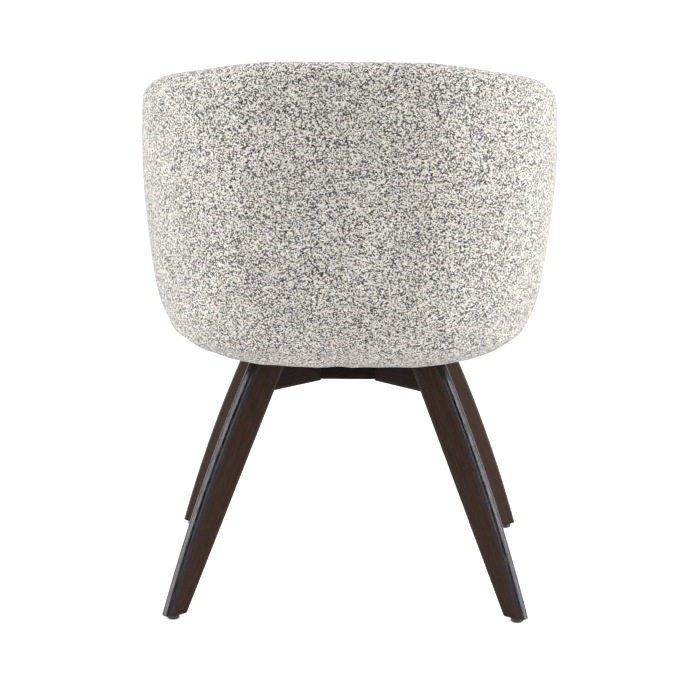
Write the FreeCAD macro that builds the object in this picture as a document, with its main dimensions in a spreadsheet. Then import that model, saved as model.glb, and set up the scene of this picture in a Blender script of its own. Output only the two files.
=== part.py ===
import FreeCAD, Part
import math
import os

import Sketcher

# Swivel dining chair: four splayed wooden legs on a hub, a roller turntable, an upholstered tub seat.
# Millimetres, +Z up. The origin is on the swivel axis at floor level. The chair faces +Y.

Vector = FreeCAD.Vector
Rotation = FreeCAD.Rotation
Placement = FreeCAD.Placement
UP = Vector(0, 0, 1)

os.makedirs("parts", exist_ok=True)
doc = FreeCAD.newDocument("SwivelDiningChair")
sheet = doc.addObject("Spreadsheet::Sheet", "Sizes")

# Driving dimensions
SIZES = {
    # Wooden base
    "leg_thickness": 20.0,
    "leg_edge_radius": 8.0,
    "leg_arris": 1.2,
    "leg_bow_radius": 2000.0,
    "foot_outer": 358.0,
    "foot_inner": 324.0,
    "leg_top_outer": 191.0,
    "knee_radius": 156.0,
    "arm_underside": 300.0,
    "base_top": 344.0,
    "hub_width": 106.0,
    "hub_underside": 302.0,
    "hub_bore": 28.0,
    "dowel_diameter": 8.0,
    "dowel_length": 36.0,
    "dowel_low": 311.0,
    "dowel_high": 333.0,
    "glide_diameter": 17.5,
    "glide_height": 6.0,
    "glide_chamfer": 1.5,
    "nail_diameter": 2.4,
    "nail_length": 20.0,
    "nail_foot": 4.0,
    # Turntable
    "plate_side": 176.0,
    "plate_corner": 22.0,
    "plate_thickness": 3.0,
    "plate_gap": 6.5,
    "pivot_diameter": 10.0,
    "pivot_play": 0.4,
    "pivot_end": 1.6,
    "washer_diameter": 24.0,
    "washer_thickness": 2.0,
    "washer_play": 0.1,
    "nut_width": 16.0,
    "nut_height": 8.0,
    "pivot_head": 6.0,
    "track_radius": 42.0,
    "roller_diameter": 6.4,
    "roller_length": 11.0,
    "cage_width": 16.0,
    "cage_thickness": 3.6,
    "pocket_play": 0.4,
    "stop_radius": 60.0,
    "stop_pin_diameter": 6.0,
    "stop_pin_rise": 0.6,
    "stop_slot_width": 6.6,
    "swivel_half_range": 90.0,
    "plate_screw_inner": 89.0,
    "plate_screw_outer": 103.0,
    "seat_bolt_radius": 100.0,
    "bolt_diameter": 6.0,
    "bolt_head_diameter": 11.0,
    "bolt_head_height": 3.6,
    "bolt_head_chamfer": 1.2,
    "bolt_length": 18.0,
    "screw_diameter": 4.2,
    "screw_head_diameter": 8.4,
    "screw_length": 26.0,
    "screw_tip": 5.0,
    # Seat frame
    "board_thickness": 15.0,
    "board_half_width": 178.0,
    "board_bore": 38.0,
    "deck_thickness": 18.0,
    "deck_screw_radius": 120.0,
    "band_screw_sink": 0.4,
    "band_half_width": 231.0,
    "band_thickness": 12.0,
    "band_lap": 12.5,
    "band_flare": 42.0,
    "band_below_rim": 26.0,
    "band_end_angle": 10.0,
    "tee_nut_flange": 19.0,
    "tee_nut_barrel": 8.0,
    "tee_nut_length": 10.0,
    "tee_nut_sheet": 1.2,
    # Upholstered tub
    "seat_offset": 17.4,
    "tub_half_width": 293.6,
    "rear_share": 0.9745,
    "front_share": 1.08,
    "rear_corner_share": 0.70,
    "front_corner_share": 0.56,
    "side_angle": 6.0,
    "end_angle": 84.0,
    "tub_bottom": 355.0,
    "tub_bottom_half_width": 153.0,
    "tub_round_height": 114.0,
    "tub_round_power": 2.9,
    "tub_taper": 34.0,
    "tub_taper_power": 1.45,
    "tub_straight_from": 620.0,
    "wall_thickness": 62.0,
    "wall_foot_inside": 214.0,
    "platform_padding": 5.0,
    "arm_end_angle": 40.0,
    "rim_height": 790.0,
    "rim_height_at": -255.0,
    "rim_slope": 0.245,
    "rim_radius": 28.0,
    "opening_half_width": 146.0,
    # Cushion, cover and staples
    "cushion_top": 488.0,
    "cushion_crown": 20.0,
    "cushion_gap": 3.0,
    "cushion_rise": 0.5,
    "cushion_turn_angle": 38.0,
    "cushion_neck": 168.0,
    "cushion_neck_at": 205.0,
    "cushion_neck_draw": 3.0,
    "cushion_corner": 58.0,
    "cushion_front_bow": 9.0,
    "cushion_foot_rise": 30.0,
    "cushion_foot_draw": 0.05,
    "cushion_edge_draw": 0.09,
    "cushion_edge_turn": 78.0,
    "cushion_summit": 0.28,
    "cover_thickness": 0.6,
    "cover_gap": 1.5,
    "cover_window": 184.0,
    "staple_width": 10.0,
    "staple_wire": 0.7,
    "staple_leg": 5.0,
    "staple_half_width": 137.0,
}

for row, (alias, number) in enumerate(SIZES.items(), start=1):
    sheet.set("A%d" % row, alias)
    sheet.set("B%d" % row, str(number))
    sheet.setAlias("B%d" % row, alias)
doc.recompute()

nodes = []


def size(alias):
    """Give one driving dimension as the sheet holds it."""
    return float(sheet.get(alias))


def value(expression):
    """Work out an expression written in the sheet's names."""
    return float(sheet.evalExpression(expression))


def keep(thing, label):
    """Name a finished sub-part and put it on the list to write."""
    thing.Label = label
    nodes.append(thing)
    return thing


# Helpers for sketched bodies

def new_sketch(body, role, name, height="0"):
    """Start a sketch on one of the body's own planes, raised by an expression."""
    sketch = body.newObject("Sketcher::SketchObject", name)
    plane = [feature for feature in body.Origin.OriginFeatures if feature.Role == role][0]
    sketch.AttachmentSupport = [(plane, "")]
    sketch.MapMode = "FlatFace"
    sketch.setExpression("AttachmentOffset.Base.z", height)
    return sketch


def pin_point(sketch, index, end, across, upward):
    """Hold one point of a sketch at two expressions measured from the sketch's origin."""
    for kind, axis, expression in (("DistanceX", -2, across), ("DistanceY", -1, upward)):
        number = value(expression)
        if abs(number) < 1e-9:
            sketch.addConstraint(Sketcher.Constraint("PointOnObject", index, end, axis))
        else:
            held = sketch.addConstraint(Sketcher.Constraint(kind, -1, 1, index, end, number))
            sketch.setExpression("Constraints[%d]" % held, expression)


def draw_outline(sketch, corners, bow=None):
    """Draw a closed outline through corners; bow names one side that is an arc and its radius."""
    points = [Vector(value(across), value(upward), 0) for across, upward in corners]
    count = len(points)
    for index in range(count):
        start = points[index]
        end = points[(index + 1) % count]
        if bow and bow[0] == index:
            radius = value(bow[1])
            chord = end - start
            sagitta = radius - math.sqrt(radius ** 2 - chord.Length ** 2 / 4)
            outward = Vector(chord.y, -chord.x, 0).normalize()
            middle = (start + end) * 0.5 + outward * sagitta
            sketch.addGeometry(Part.Arc(start, middle, end))
        else:
            sketch.addGeometry(Part.LineSegment(start, end))
    for index in range(count):
        sketch.addConstraint(Sketcher.Constraint("Coincident", index, 2, (index + 1) % count, 1))
    for index, (across, upward) in enumerate(corners):
        pin_point(sketch, index, 1, across, upward)
    if bow:
        held = sketch.addConstraint(Sketcher.Constraint("Radius", bow[0], value(bow[1])))
        sketch.setExpression("Constraints[%d]" % held, bow[1])


def draw_circle(sketch, across, upward, diameter):
    """Draw a circle with its centre and diameter held by expressions."""
    centre = Vector(value(across), value(upward), 0)
    index = sketch.addGeometry(Part.Circle(centre, UP, value(diameter) / 2))
    pin_point(sketch, index, 3, across, upward)
    held = sketch.addConstraint(Sketcher.Constraint("Diameter", index, value(diameter)))
    sketch.setExpression("Constraints[%d]" % held, diameter)


def pad(body, sketch, length, middle=False):
    """Thicken a sketch by an expression, to one side or both alike."""
    feature = body.newObject("PartDesign::Pad", "Pad_" + sketch.Name)
    feature.Profile = sketch
    feature.Midplane = middle
    feature.setExpression("Length", length)
    doc.recompute()
    return feature


def pocket_through(body, sketch):
    """Cut a sketch right through the body, both ways from its plane."""
    feature = body.newObject("PartDesign::Pocket", "Pocket_" + sketch.Name)
    feature.Profile = sketch
    feature.Type = "ThroughAll"
    feature.Midplane = True
    doc.recompute()
    return feature


def round_edges(body, base, wanted, radius):
    """Fillet the edges of base that the test picks, with a radius from an expression."""
    names = ["Edge%d" % (index + 1) for index, edge in enumerate(base.Shape.Edges) if wanted(edge)]
    feature = body.newObject("PartDesign::Fillet", "Fillet_" + base.Name)
    feature.Base = (base, names)
    feature.setExpression("Radius", radius)
    doc.recompute()
    return feature


def is_upright(edge):
    """Tell whether an edge runs along Z."""
    first, last = edge.Vertexes[0].Point, edge.Vertexes[-1].Point
    return abs(first.x - last.x) < 1e-6 and abs(first.y - last.y) < 1e-6


def revolve(body, sketch):
    """Turn a sketch on the XZ plane once round the upright axis."""
    feature = body.newObject("PartDesign::Revolution", "Revolution_" + sketch.Name)
    feature.Profile = sketch
    feature.ReferenceAxis = (sketch, ["V_Axis"])
    feature.Angle = 360
    doc.recompute()
    return feature


def group_copies(label, master, placements):
    """Put a copy of the master solid at each placement and keep them as one group."""
    copies = []
    for placement in placements:
        copy = master.Shape.copy()
        copy.Placement = placement.multiply(copy.Placement)
        copies.append(copy)
    group = doc.addObject("Part::Feature", label)
    group.Shape = Part.makeCompound(copies)
    return keep(group, label)


def drilled(label, blank, tools):
    """Cut the seats of the fixings out of a blank, so that each fixing fits its own hole."""
    result = blank
    for count, tool in enumerate(tools, start=1):
        cut = doc.addObject("Part::Cut", "%s_cut_%d" % (label, count))
        cut.Base = result
        cut.Tool = tool
        result = cut
    doc.recompute()
    return keep(result, label)


def turned(degrees):
    """Give the placement that turns a piece about the swivel axis."""
    return Placement(Vector(), Rotation(UP, degrees))


# Levels that several pieces share
LOWER_PLATE_TOP = "Sizes.base_top + Sizes.plate_thickness"
UPPER_PLATE_BOTTOM = "Sizes.base_top + Sizes.plate_thickness + Sizes.plate_gap"
BOARD_BOTTOM = "Sizes.base_top + 2 * Sizes.plate_thickness + Sizes.plate_gap"
DECK_BOTTOM = BOARD_BOTTOM + " + Sizes.board_thickness"
DECK_TOP = DECK_BOTTOM + " + Sizes.deck_thickness"

base_top = size("base_top")
lower_plate_top = value(LOWER_PLATE_TOP)
upper_plate_bottom = value(UPPER_PLATE_BOTTOM)
board_bottom = value(BOARD_BOTTOM)
deck_bottom = value(DECK_BOTTOM)
deck_top = value(DECK_TOP)


# Wooden base

LEG_DIRECTIONS = {"front_right": 45, "front_left": 135, "rear_left": 225, "rear_right": 315}
LEG_LEAN = "(Sizes.foot_inner - Sizes.knee_radius) / (Sizes.arm_underside - Sizes.glide_height)"
ARM_TOP_END = "Sizes.knee_radius - (Sizes.base_top - Sizes.arm_underside) * " + LEG_LEAN
HUB_FACE = "Sizes.hub_width / sqrt(2) - Sizes.leg_thickness / 2"


def leg_blank(place, direction):
    """Saw one splayed leg: straight inside, bowed and rounded over outside."""
    body = doc.addObject("PartDesign::Body", "leg_blank_" + place)
    sketch = new_sketch(body, "XZ_Plane", "leg_side_" + place)
    corners = (
        ("Sizes.foot_inner", "Sizes.glide_height"),
        ("Sizes.foot_outer", "Sizes.glide_height"),
        ("Sizes.leg_top_outer", "Sizes.base_top"),
        (ARM_TOP_END, "Sizes.base_top"),
    )
    draw_outline(sketch, corners, bow=(1, "Sizes.leg_bow_radius"))
    sawn = pad(body, sketch, "Sizes.leg_thickness", middle=True)
    outer_arris = round_edges(body, sawn, lambda edge: edge.Curve.TypeId == "Part::GeomCircle",
                              "Sizes.leg_edge_radius")
    inner_slope = size("foot_inner") - value(ARM_TOP_END)

    def on_inner_arris(edge):
        box = edge.BoundBox
        return abs(box.XLength - inner_slope) < 1e-3 and box.YLength < 1e-6

    body.Tip = round_edges(body, outer_arris, on_inner_arris, "Sizes.leg_arris")
    body.Placement = turned(direction)
    return body


def arm_blank(place, direction):
    """Saw one level arm from the hub's corner face to the leg's sloping inner face."""
    body = doc.addObject("PartDesign::Body", "arm_blank_" + place)
    sketch = new_sketch(body, "XZ_Plane", "arm_side_" + place)
    corners = (
        (HUB_FACE, "Sizes.arm_underside"),
        ("Sizes.knee_radius", "Sizes.arm_underside"),
        (ARM_TOP_END, "Sizes.base_top"),
        (HUB_FACE, "Sizes.base_top"),
    )
    draw_outline(sketch, corners)
    sawn = pad(body, sketch, "Sizes.leg_thickness", middle=True)
    underside = size("arm_underside")

    def on_lower_arris(edge):
        box = edge.BoundBox
        return box.ZMax < underside + 1e-6 and box.YLength < 1e-6

    body.Tip = round_edges(body, sawn, on_lower_arris, "Sizes.leg_arris")
    body.Placement = turned(direction)
    return body


def hub_blank():
    """Saw the centre block: a square whose corners are cut to the arms' thickness."""
    body = doc.addObject("PartDesign::Body", "hub_blank")
    sketch = new_sketch(body, "XY_Plane", "hub_plan", "Sizes.hub_underside")
    side = "Sizes.hub_width / 2"
    short = "(Sizes.hub_width / 2 - Sizes.leg_thickness / sqrt(2))"
    corners = (
        (side, short), (short, side), ("-" + short, side), ("-" + side, short),
        ("-" + side, "-" + short), ("-" + short, "-" + side), (short, "-" + side), (side, "-" + short),
    )
    draw_outline(sketch, corners)
    draw_circle(sketch, "0", "0", "Sizes.hub_bore")
    body.Tip = pad(body, sketch, "Sizes.base_top - Sizes.hub_underside")
    return body


def round_bar(name, diameter, length):
    """Make a plain round bar along X, centred on the origin, to be copied into its places."""
    bar = doc.addObject("Part::Cylinder", name)
    bar.setExpression("Radius", diameter + " / 2")
    bar.setExpression("Height", length)
    bar.Placement = Placement(Vector(-value(length) / 2, 0, 0), Rotation(Vector(0, 1, 0), 90))
    doc.recompute()
    return bar


dowel = round_bar("dowel", "Sizes.dowel_diameter", "Sizes.dowel_length")
dowel_levels = (size("dowel_low"), size("dowel_high"))
lean = value(LEG_LEAN)
hub_joint = []
knee_joint = []
for direction in LEG_DIRECTIONS.values():
    for level in dowel_levels:
        knee = size("knee_radius") - (level - size("arm_underside")) * lean
        hub_joint.append(turned(direction).multiply(
            Placement(Vector(value(HUB_FACE), 0, level), Rotation())))
        knee_joint.append(turned(direction).multiply(Placement(Vector(knee, 0, level), Rotation())))
hub_dowels = group_copies("hub_dowels", dowel, hub_joint)
knee_dowels = group_copies("knee_dowels", dowel, knee_joint)

# The glide is a low nylon puck with a nail moulded in, driven into the middle of the foot.
foot_middle = (size("foot_outer") + size("foot_inner")) / 2
glide_body = doc.addObject("PartDesign::Body", "glide_master")
glide_profile = new_sketch(glide_body, "XZ_Plane", "glide_profile")
draw_outline(glide_profile, (
    ("0", "0"),
    ("Sizes.glide_diameter / 2 - Sizes.glide_chamfer", "0"),
    ("Sizes.glide_diameter / 2", "Sizes.glide_chamfer"),
    ("Sizes.glide_diameter / 2", "Sizes.glide_height"),
    ("0", "Sizes.glide_height"),
))
glide_body.Tip = revolve(glide_body, glide_profile)
glide_nail = doc.addObject("Part::Cylinder", "glide_nail_master")
glide_nail.setExpression("Radius", "Sizes.nail_diameter / 2")
glide_nail.setExpression("Height", "Sizes.nail_length")
doc.recompute()
foot_places = [turned(direction).multiply(Placement(Vector(foot_middle, 0, 0), Rotation()))
               for direction in LEG_DIRECTIONS.values()]
nail_places = [place.multiply(Placement(Vector(0, 0, size("nail_foot")), Rotation()))
               for place in foot_places]
glide_nails = group_copies("glide_nails", glide_nail, nail_places)
glide_blanks = doc.addObject("Part::Feature", "glide_blanks")
glide_blanks.Shape = Part.makeCompound([
    glide_body.Shape.transformed(place.toMatrix()) for place in foot_places])
drilled("foot_glides", glide_blanks, [glide_nails])


# Screws of one kind hold the turntable, the deck and the back band

screw_body = doc.addObject("PartDesign::Body", "wood_screw")
screw_profile = new_sketch(screw_body, "XZ_Plane", "screw_profile")
HEAD_DEPTH = "(Sizes.screw_head_diameter - Sizes.screw_diameter) / 2"
draw_outline(screw_profile, (
    ("0", "-Sizes.screw_length"),
    ("Sizes.screw_diameter / 2", "Sizes.screw_tip - Sizes.screw_length"),
    ("Sizes.screw_diameter / 2", "-" + HEAD_DEPTH),
    ("Sizes.screw_head_diameter / 2", "0"),
    ("0", "0"),
))
screw_body.Tip = revolve(screw_body, screw_profile)


def screw_places(points, inward):
    """Give the placements of screws whose heads are at points and whose tips run inward."""
    turn = Rotation(Vector(0, 0, -1), inward)
    return [Placement(point, turn) for point in points]


plate_screw_points = []
for direction in LEG_DIRECTIONS.values():
    for reach in (size("plate_screw_inner"), size("plate_screw_outer")):
        plate_screw_points.append(turned(direction).multVec(Vector(reach, 0, lower_plate_top)))
plate_screws = group_copies("plate_screws", screw_body, screw_places(plate_screw_points, -UP))

drilled("hub_block", hub_blank(), [hub_dowels])
for place, direction in LEG_DIRECTIONS.items():
    drilled("leg_" + place, leg_blank(place, direction), [knee_dowels, glide_nails])
for place, direction in LEG_DIRECTIONS.items():
    drilled("arm_" + place, arm_blank(place, direction), [hub_dowels, knee_dowels, plate_screws])


# Turntable: two steel plates, a caged ring of rollers, a pivot bolt and a stop pin in an arc slot

def is_corner(edge):
    """Tell whether an upright edge is one of a square plate's corners."""
    point = edge.Vertexes[0].Point
    half = size("plate_side") / 2
    return is_upright(edge) and abs(abs(point.x) - half) < 1e-6 and abs(abs(point.y) - half) < 1e-6


def plate_blank(name, height, pivot_hole):
    """Press one square plate with rounded corners and a pivot hole."""
    body = doc.addObject("PartDesign::Body", name)
    sketch = new_sketch(body, "XY_Plane", name + "_plan", height)
    side = "Sizes.plate_side / 2"
    draw_outline(sketch, ((side, "-" + side), (side, side), ("-" + side, side), ("-" + side, "-" + side)))
    draw_circle(sketch, "0", "0", pivot_hole)
    flat = pad(body, sketch, "Sizes.plate_thickness")
    body.Tip = round_edges(body, flat, is_corner, "Sizes.plate_corner")
    return body


lower_blank = plate_blank("lower_plate_blank", "Sizes.base_top", "Sizes.pivot_diameter")
slot_section = new_sketch(lower_blank, "XZ_Plane", "stop_slot_section")
draw_outline(slot_section, (
    ("Sizes.stop_radius - Sizes.stop_slot_width / 2", "Sizes.base_top - 1"),
    ("Sizes.stop_radius + Sizes.stop_slot_width / 2", "Sizes.base_top - 1"),
    ("Sizes.stop_radius + Sizes.stop_slot_width / 2", LOWER_PLATE_TOP + " + 1"),
    ("Sizes.stop_radius - Sizes.stop_slot_width / 2", LOWER_PLATE_TOP + " + 1"),
))
stop_slot = lower_blank.newObject("PartDesign::Groove", "stop_slot")
stop_slot.Profile = slot_section
stop_slot.ReferenceAxis = (slot_section, ["V_Axis"])
stop_slot.Midplane = True
stop_slot.setExpression("Angle", "2 * Sizes.swivel_half_range")
slot_ends = new_sketch(lower_blank, "XY_Plane", "stop_slot_ends")
draw_circle(slot_ends, "0", "Sizes.stop_radius", "Sizes.stop_slot_width")
draw_circle(slot_ends, "0", "-Sizes.stop_radius", "Sizes.stop_slot_width")
lower_blank.Tip = pocket_through(lower_blank, slot_ends)
drilled("swivel_lower_plate", lower_blank, [plate_screws])

def hexagon(sketch, width):
    """Draw a hexagon nut or head by its width across flats."""
    corners = []
    for corner in range(6):
        angle = 60 * corner
        reach = "%s / 2 / cos(30)" % width
        corners.append(("%s * cos(%d)" % (reach, angle), "%s * sin(%d)" % (reach, angle)))
    draw_outline(sketch, corners)


# The pivot bolt's hexagon head sits in the hub's bore, and its lock nut in the seat board's bore.
pivot_bolt = doc.addObject("PartDesign::Body", "pivot_bolt")
head_plan = new_sketch(pivot_bolt, "XY_Plane", "pivot_head_plan", "Sizes.base_top - Sizes.pivot_head")
hexagon(head_plan, "Sizes.nut_width")
pad(pivot_bolt, head_plan, "Sizes.pivot_head")
shank_plan = new_sketch(pivot_bolt, "XY_Plane", "pivot_shank_plan", "Sizes.base_top")
draw_circle(shank_plan, "0", "0", "Sizes.pivot_diameter")
PIVOT_REACH = ("2 * Sizes.plate_thickness + Sizes.plate_gap + Sizes.washer_play"
               " + Sizes.washer_thickness + Sizes.nut_height + Sizes.pivot_end")
pivot_bolt.Tip = pad(pivot_bolt, shank_plan, PIVOT_REACH)
keep(pivot_bolt, "pivot_bolt")

WASHER_BOTTOM = BOARD_BOTTOM + " + Sizes.washer_play"
pivot_washer = doc.addObject("PartDesign::Body", "pivot_washer")
washer_plan = new_sketch(pivot_washer, "XY_Plane", "washer_plan", WASHER_BOTTOM)
draw_circle(washer_plan, "0", "0", "Sizes.washer_diameter")
draw_circle(washer_plan, "0", "0", "Sizes.pivot_diameter")
pivot_washer.Tip = pad(pivot_washer, washer_plan, "Sizes.washer_thickness")
keep(pivot_washer, "pivot_washer")

pivot_nut = doc.addObject("PartDesign::Body", "pivot_nut")
nut_plan = new_sketch(pivot_nut, "XY_Plane", "nut_plan", WASHER_BOTTOM + " + Sizes.washer_thickness")
hexagon(nut_plan, "Sizes.nut_width")
draw_circle(nut_plan, "0", "0", "Sizes.pivot_diameter")
pivot_nut.Tip = pad(pivot_nut, nut_plan, "Sizes.nut_height")
keep(pivot_nut, "pivot_nut")

# The rollers lie like spokes in the pockets of a moulded ring, midway between the plates.
ROLLER_COUNT = 16
roller_level = lower_plate_top + size("plate_gap") / 2
roller = round_bar("roller", "Sizes.roller_diameter", "Sizes.roller_length")
roller_places = [
    turned(360.0 / ROLLER_COUNT * count).multiply(
        Placement(Vector(size("track_radius"), 0, roller_level), Rotation()))
    for count in range(ROLLER_COUNT)]
group_copies("thrust_rollers", roller, roller_places)

roller_cage = doc.addObject("PartDesign::Body", "roller_cage")
cage_plan = new_sketch(roller_cage, "XY_Plane", "cage_plan",
                       LOWER_PLATE_TOP + " + (Sizes.plate_gap - Sizes.cage_thickness) / 2")
draw_circle(cage_plan, "0", "0", "2 * Sizes.track_radius + Sizes.cage_width")
draw_circle(cage_plan, "0", "0", "2 * Sizes.track_radius - Sizes.cage_width")
pad(roller_cage, cage_plan, "Sizes.cage_thickness")
pocket_plan = new_sketch(roller_cage, "XY_Plane", "pocket_plan")
POCKET_END = "(Sizes.roller_length + Sizes.pocket_play) / 2"
POCKET_SIDE = "(Sizes.roller_diameter + Sizes.pocket_play) / 2"
draw_outline(pocket_plan, (
    ("Sizes.track_radius - " + POCKET_END, "-" + POCKET_SIDE),
    ("Sizes.track_radius + " + POCKET_END, "-" + POCKET_SIDE),
    ("Sizes.track_radius + " + POCKET_END, POCKET_SIDE),
    ("Sizes.track_radius - " + POCKET_END, POCKET_SIDE),
))
one_pocket = pocket_through(roller_cage, pocket_plan)
pockets = roller_cage.newObject("PartDesign::PolarPattern", "pockets")
pockets.Originals = [one_pocket]
pockets.Axis = (pocket_plan, ["N_Axis"])
pockets.Angle = 360
pockets.Occurrences = ROLLER_COUNT
roller_cage.Tip = pockets
keep(roller_cage, "roller_cage")

# The stop pin is riveted in the upper plate and travels in the lower plate's arc slot.
stop_pin = doc.addObject("Part::Cylinder", "stop_pin")
stop_pin.setExpression("Radius", "Sizes.stop_pin_diameter / 2")
stop_pin.setExpression("Height", "2 * Sizes.plate_thickness + Sizes.plate_gap - Sizes.stop_pin_rise")
stop_pin.setExpression("Placement.Base.x", "Sizes.stop_radius")
stop_pin.setExpression("Placement.Base.z", "Sizes.base_top + Sizes.stop_pin_rise")
keep(stop_pin, "stop_pin")

bolt_body = doc.addObject("PartDesign::Body", "seat_bolt_master")
bolt_profile = new_sketch(bolt_body, "XZ_Plane", "bolt_profile")
draw_outline(bolt_profile, (
    ("0", "-Sizes.bolt_head_height"),
    ("Sizes.bolt_head_diameter / 2 - Sizes.bolt_head_chamfer", "-Sizes.bolt_head_height"),
    ("Sizes.bolt_head_diameter / 2", "Sizes.bolt_head_chamfer - Sizes.bolt_head_height"),
    ("Sizes.bolt_head_diameter / 2", "0"),
    ("Sizes.bolt_diameter / 2", "0"),
    ("Sizes.bolt_diameter / 2", "Sizes.bolt_length"),
    ("0", "Sizes.bolt_length"),
))
bolt_body.Tip = revolve(bolt_body, bolt_profile)
corner_bolts = [turned(direction).multiply(
    Placement(Vector(size("seat_bolt_radius"), 0, upper_plate_bottom), Rotation()))
    for direction in LEG_DIRECTIONS.values()]
seat_bolts = group_copies("seat_bolts", bolt_body, corner_bolts)
upper_blank = plate_blank("upper_plate_blank", UPPER_PLATE_BOTTOM,
                          "Sizes.pivot_diameter + Sizes.pivot_play")
drilled("swivel_upper_plate", upper_blank, [seat_bolts, stop_pin])


# Outlines of the seat: each quarter is three arcs that meet in line

def quarter(half_width, half_depth, corner_share):
    """Work out the three arcs of a quarter outline: side, corner and end.

    Each arc is (centre x, centre y, radius, first angle, last angle), with the angle of its normal
    measured from the side. The side arc is centred on the width axis and the end arc on the depth
    axis, and the corner arc joins them with no kink.
    """
    first = math.radians(size("side_angle"))
    last = math.radians(size("end_angle"))
    corner = corner_share * half_width
    across = -half_width + corner * (math.cos(first) - math.cos(last))
    along = half_depth + corner * (math.sin(first) - math.sin(last))
    # Two equations in the side and end radii, from the corner centre reached both ways round
    side_x, end_x = math.cos(first) - 1, -math.cos(last)
    side_y, end_y = math.sin(first), 1 - math.sin(last)
    scale = side_x * end_y - end_x * side_y
    side = (across * end_y - end_x * along) / scale
    end = (side_x * along - across * side_y) / scale
    centre_x = half_width - side + (side - corner) * math.cos(first)
    centre_y = (side - corner) * math.sin(first)
    return (
        (half_width - side, 0.0, side, 0.0, first),
        (centre_x, centre_y, corner, first, last),
        (0.0, half_depth - end, end, last, math.pi / 2),
    )


def outline_arcs(half_width, from_angle, to_angle, inset=0.0):
    """List the arcs of a seat outline between two normal angles in degrees, 0 at +X and 90 at +Y.

    Angles run anticlockwise. Each entry is (centre, radius, first angle, last angle) in radians.
    An inset keeps the centres and shortens the radii, so the curve stays parallel.
    """
    shares = (
        (size("front_share"), size("front_corner_share")),
        (size("rear_share"), size("rear_corner_share")),
    )
    start = math.radians(from_angle)
    stop = math.radians(to_angle)
    offset = -size("seat_offset")
    arcs = []
    for number in range(math.floor(from_angle / 90), math.ceil(to_angle / 90)):
        depth_share, corner_share = shares[(number % 4) // 2]
        flip_x = -1 if number % 4 in (1, 2) else 1
        flip_y = -1 if number % 4 in (2, 3) else 1
        opening = number * math.pi / 2
        pieces = quarter(half_width, half_width * depth_share, corner_share)
        mirrored = flip_x * flip_y < 0
        for x, y, radius, first, last in (reversed(pieces) if mirrored else pieces):
            if mirrored:
                first, last = math.pi / 2 - last, math.pi / 2 - first
            low = max(opening + first, start)
            high = min(opening + last, stop)
            if high - low > 1e-9:
                centre = Vector(flip_x * x, offset + flip_y * y, 0)
                arcs.append((centre, radius - inset, low, high))
    return arcs


def arc_edge(centre, radius, first, last, height):
    """Make the edge of one arc at a height."""
    points = []
    for angle in (first, (first + last) / 2, last):
        points.append(Vector(centre.x + radius * math.cos(angle),
                             centre.y + radius * math.sin(angle), height))
    return Part.Arc(*points).toShape()


def closed_outline(half_width, height, inset=0.0):
    """Make the whole outline of the seat at a half width and height, or one parallel to it inside."""
    return Part.Wire([arc_edge(*arc, height) for arc in outline_arcs(half_width, 0, 360, inset)])


def wall_outline(half_width, thickness, height, inset=0.0):
    """Make the C-shaped outline of the tub's wall, open to the front, with half-round ends."""
    end_angle = size("arm_end_angle")
    first = -180 - end_angle
    outer = outline_arcs(half_width, first, end_angle, inset)
    inner = outline_arcs(half_width, first, end_angle, thickness - inset)
    edges = [arc_edge(*arc, height) for arc in outer]
    radius = thickness / 2 - inset
    right_angle = math.radians(end_angle)
    centre, reach = outer[-1][0], outer[-1][1] - radius
    cap = centre + Vector(reach * math.cos(right_angle), reach * math.sin(right_angle), 0)
    quarter_turn = math.pi / 2
    edges.append(arc_edge(cap, radius, right_angle, right_angle + quarter_turn, height))
    edges.append(arc_edge(cap, radius, right_angle + quarter_turn, right_angle + math.pi, height))
    edges += [arc_edge(centre, reach, last, start, height)
              for centre, reach, start, last in reversed(inner)]
    left_angle = math.pi - right_angle
    cap = Vector(-cap.x, cap.y, 0)
    edges.append(arc_edge(cap, radius, left_angle - math.pi, left_angle - quarter_turn, height))
    edges.append(arc_edge(cap, radius, left_angle - quarter_turn, left_angle, height))
    return Part.Wire(edges)


def plate_solid(half_width, bottom, thickness, inset=0.0):
    """Make a flat board with the seat's outline, or one parallel to it inside."""
    return Part.Face(closed_outline(half_width, bottom, inset)).extrude(Vector(0, 0, thickness))


def solid_feature(name, shape):
    """Hold a worked-out shape as an object of the document."""
    feature = doc.addObject("Part::Feature", name)
    feature.Shape = shape
    return feature


def tub_half_width(level):
    """Give the tub's half width at a level.

    Above the straight line it is constant. Below, the side draws in by the taper, and the lowest
    stretch rounds under along a superellipse to the flat bottom.
    """
    bottom = size("tub_bottom")
    straight = size("tub_straight_from")
    drop = min(max((straight - level) / (straight - bottom), 0), 1)
    side = size("tub_half_width") - size("tub_taper") * drop ** size("tub_taper_power")
    depth = min(max((bottom + size("tub_round_height") - level) / size("tub_round_height"), 0), 1)
    power = size("tub_round_power")
    flat = size("tub_bottom_half_width")
    return flat + (side - flat) * (1 - depth ** power) ** (1 / power)


# Seat frame: two glued boards, and a bent plywood band lapped round their edge

band_half_width = size("band_half_width")
band_thickness = size("band_thickness")

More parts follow.
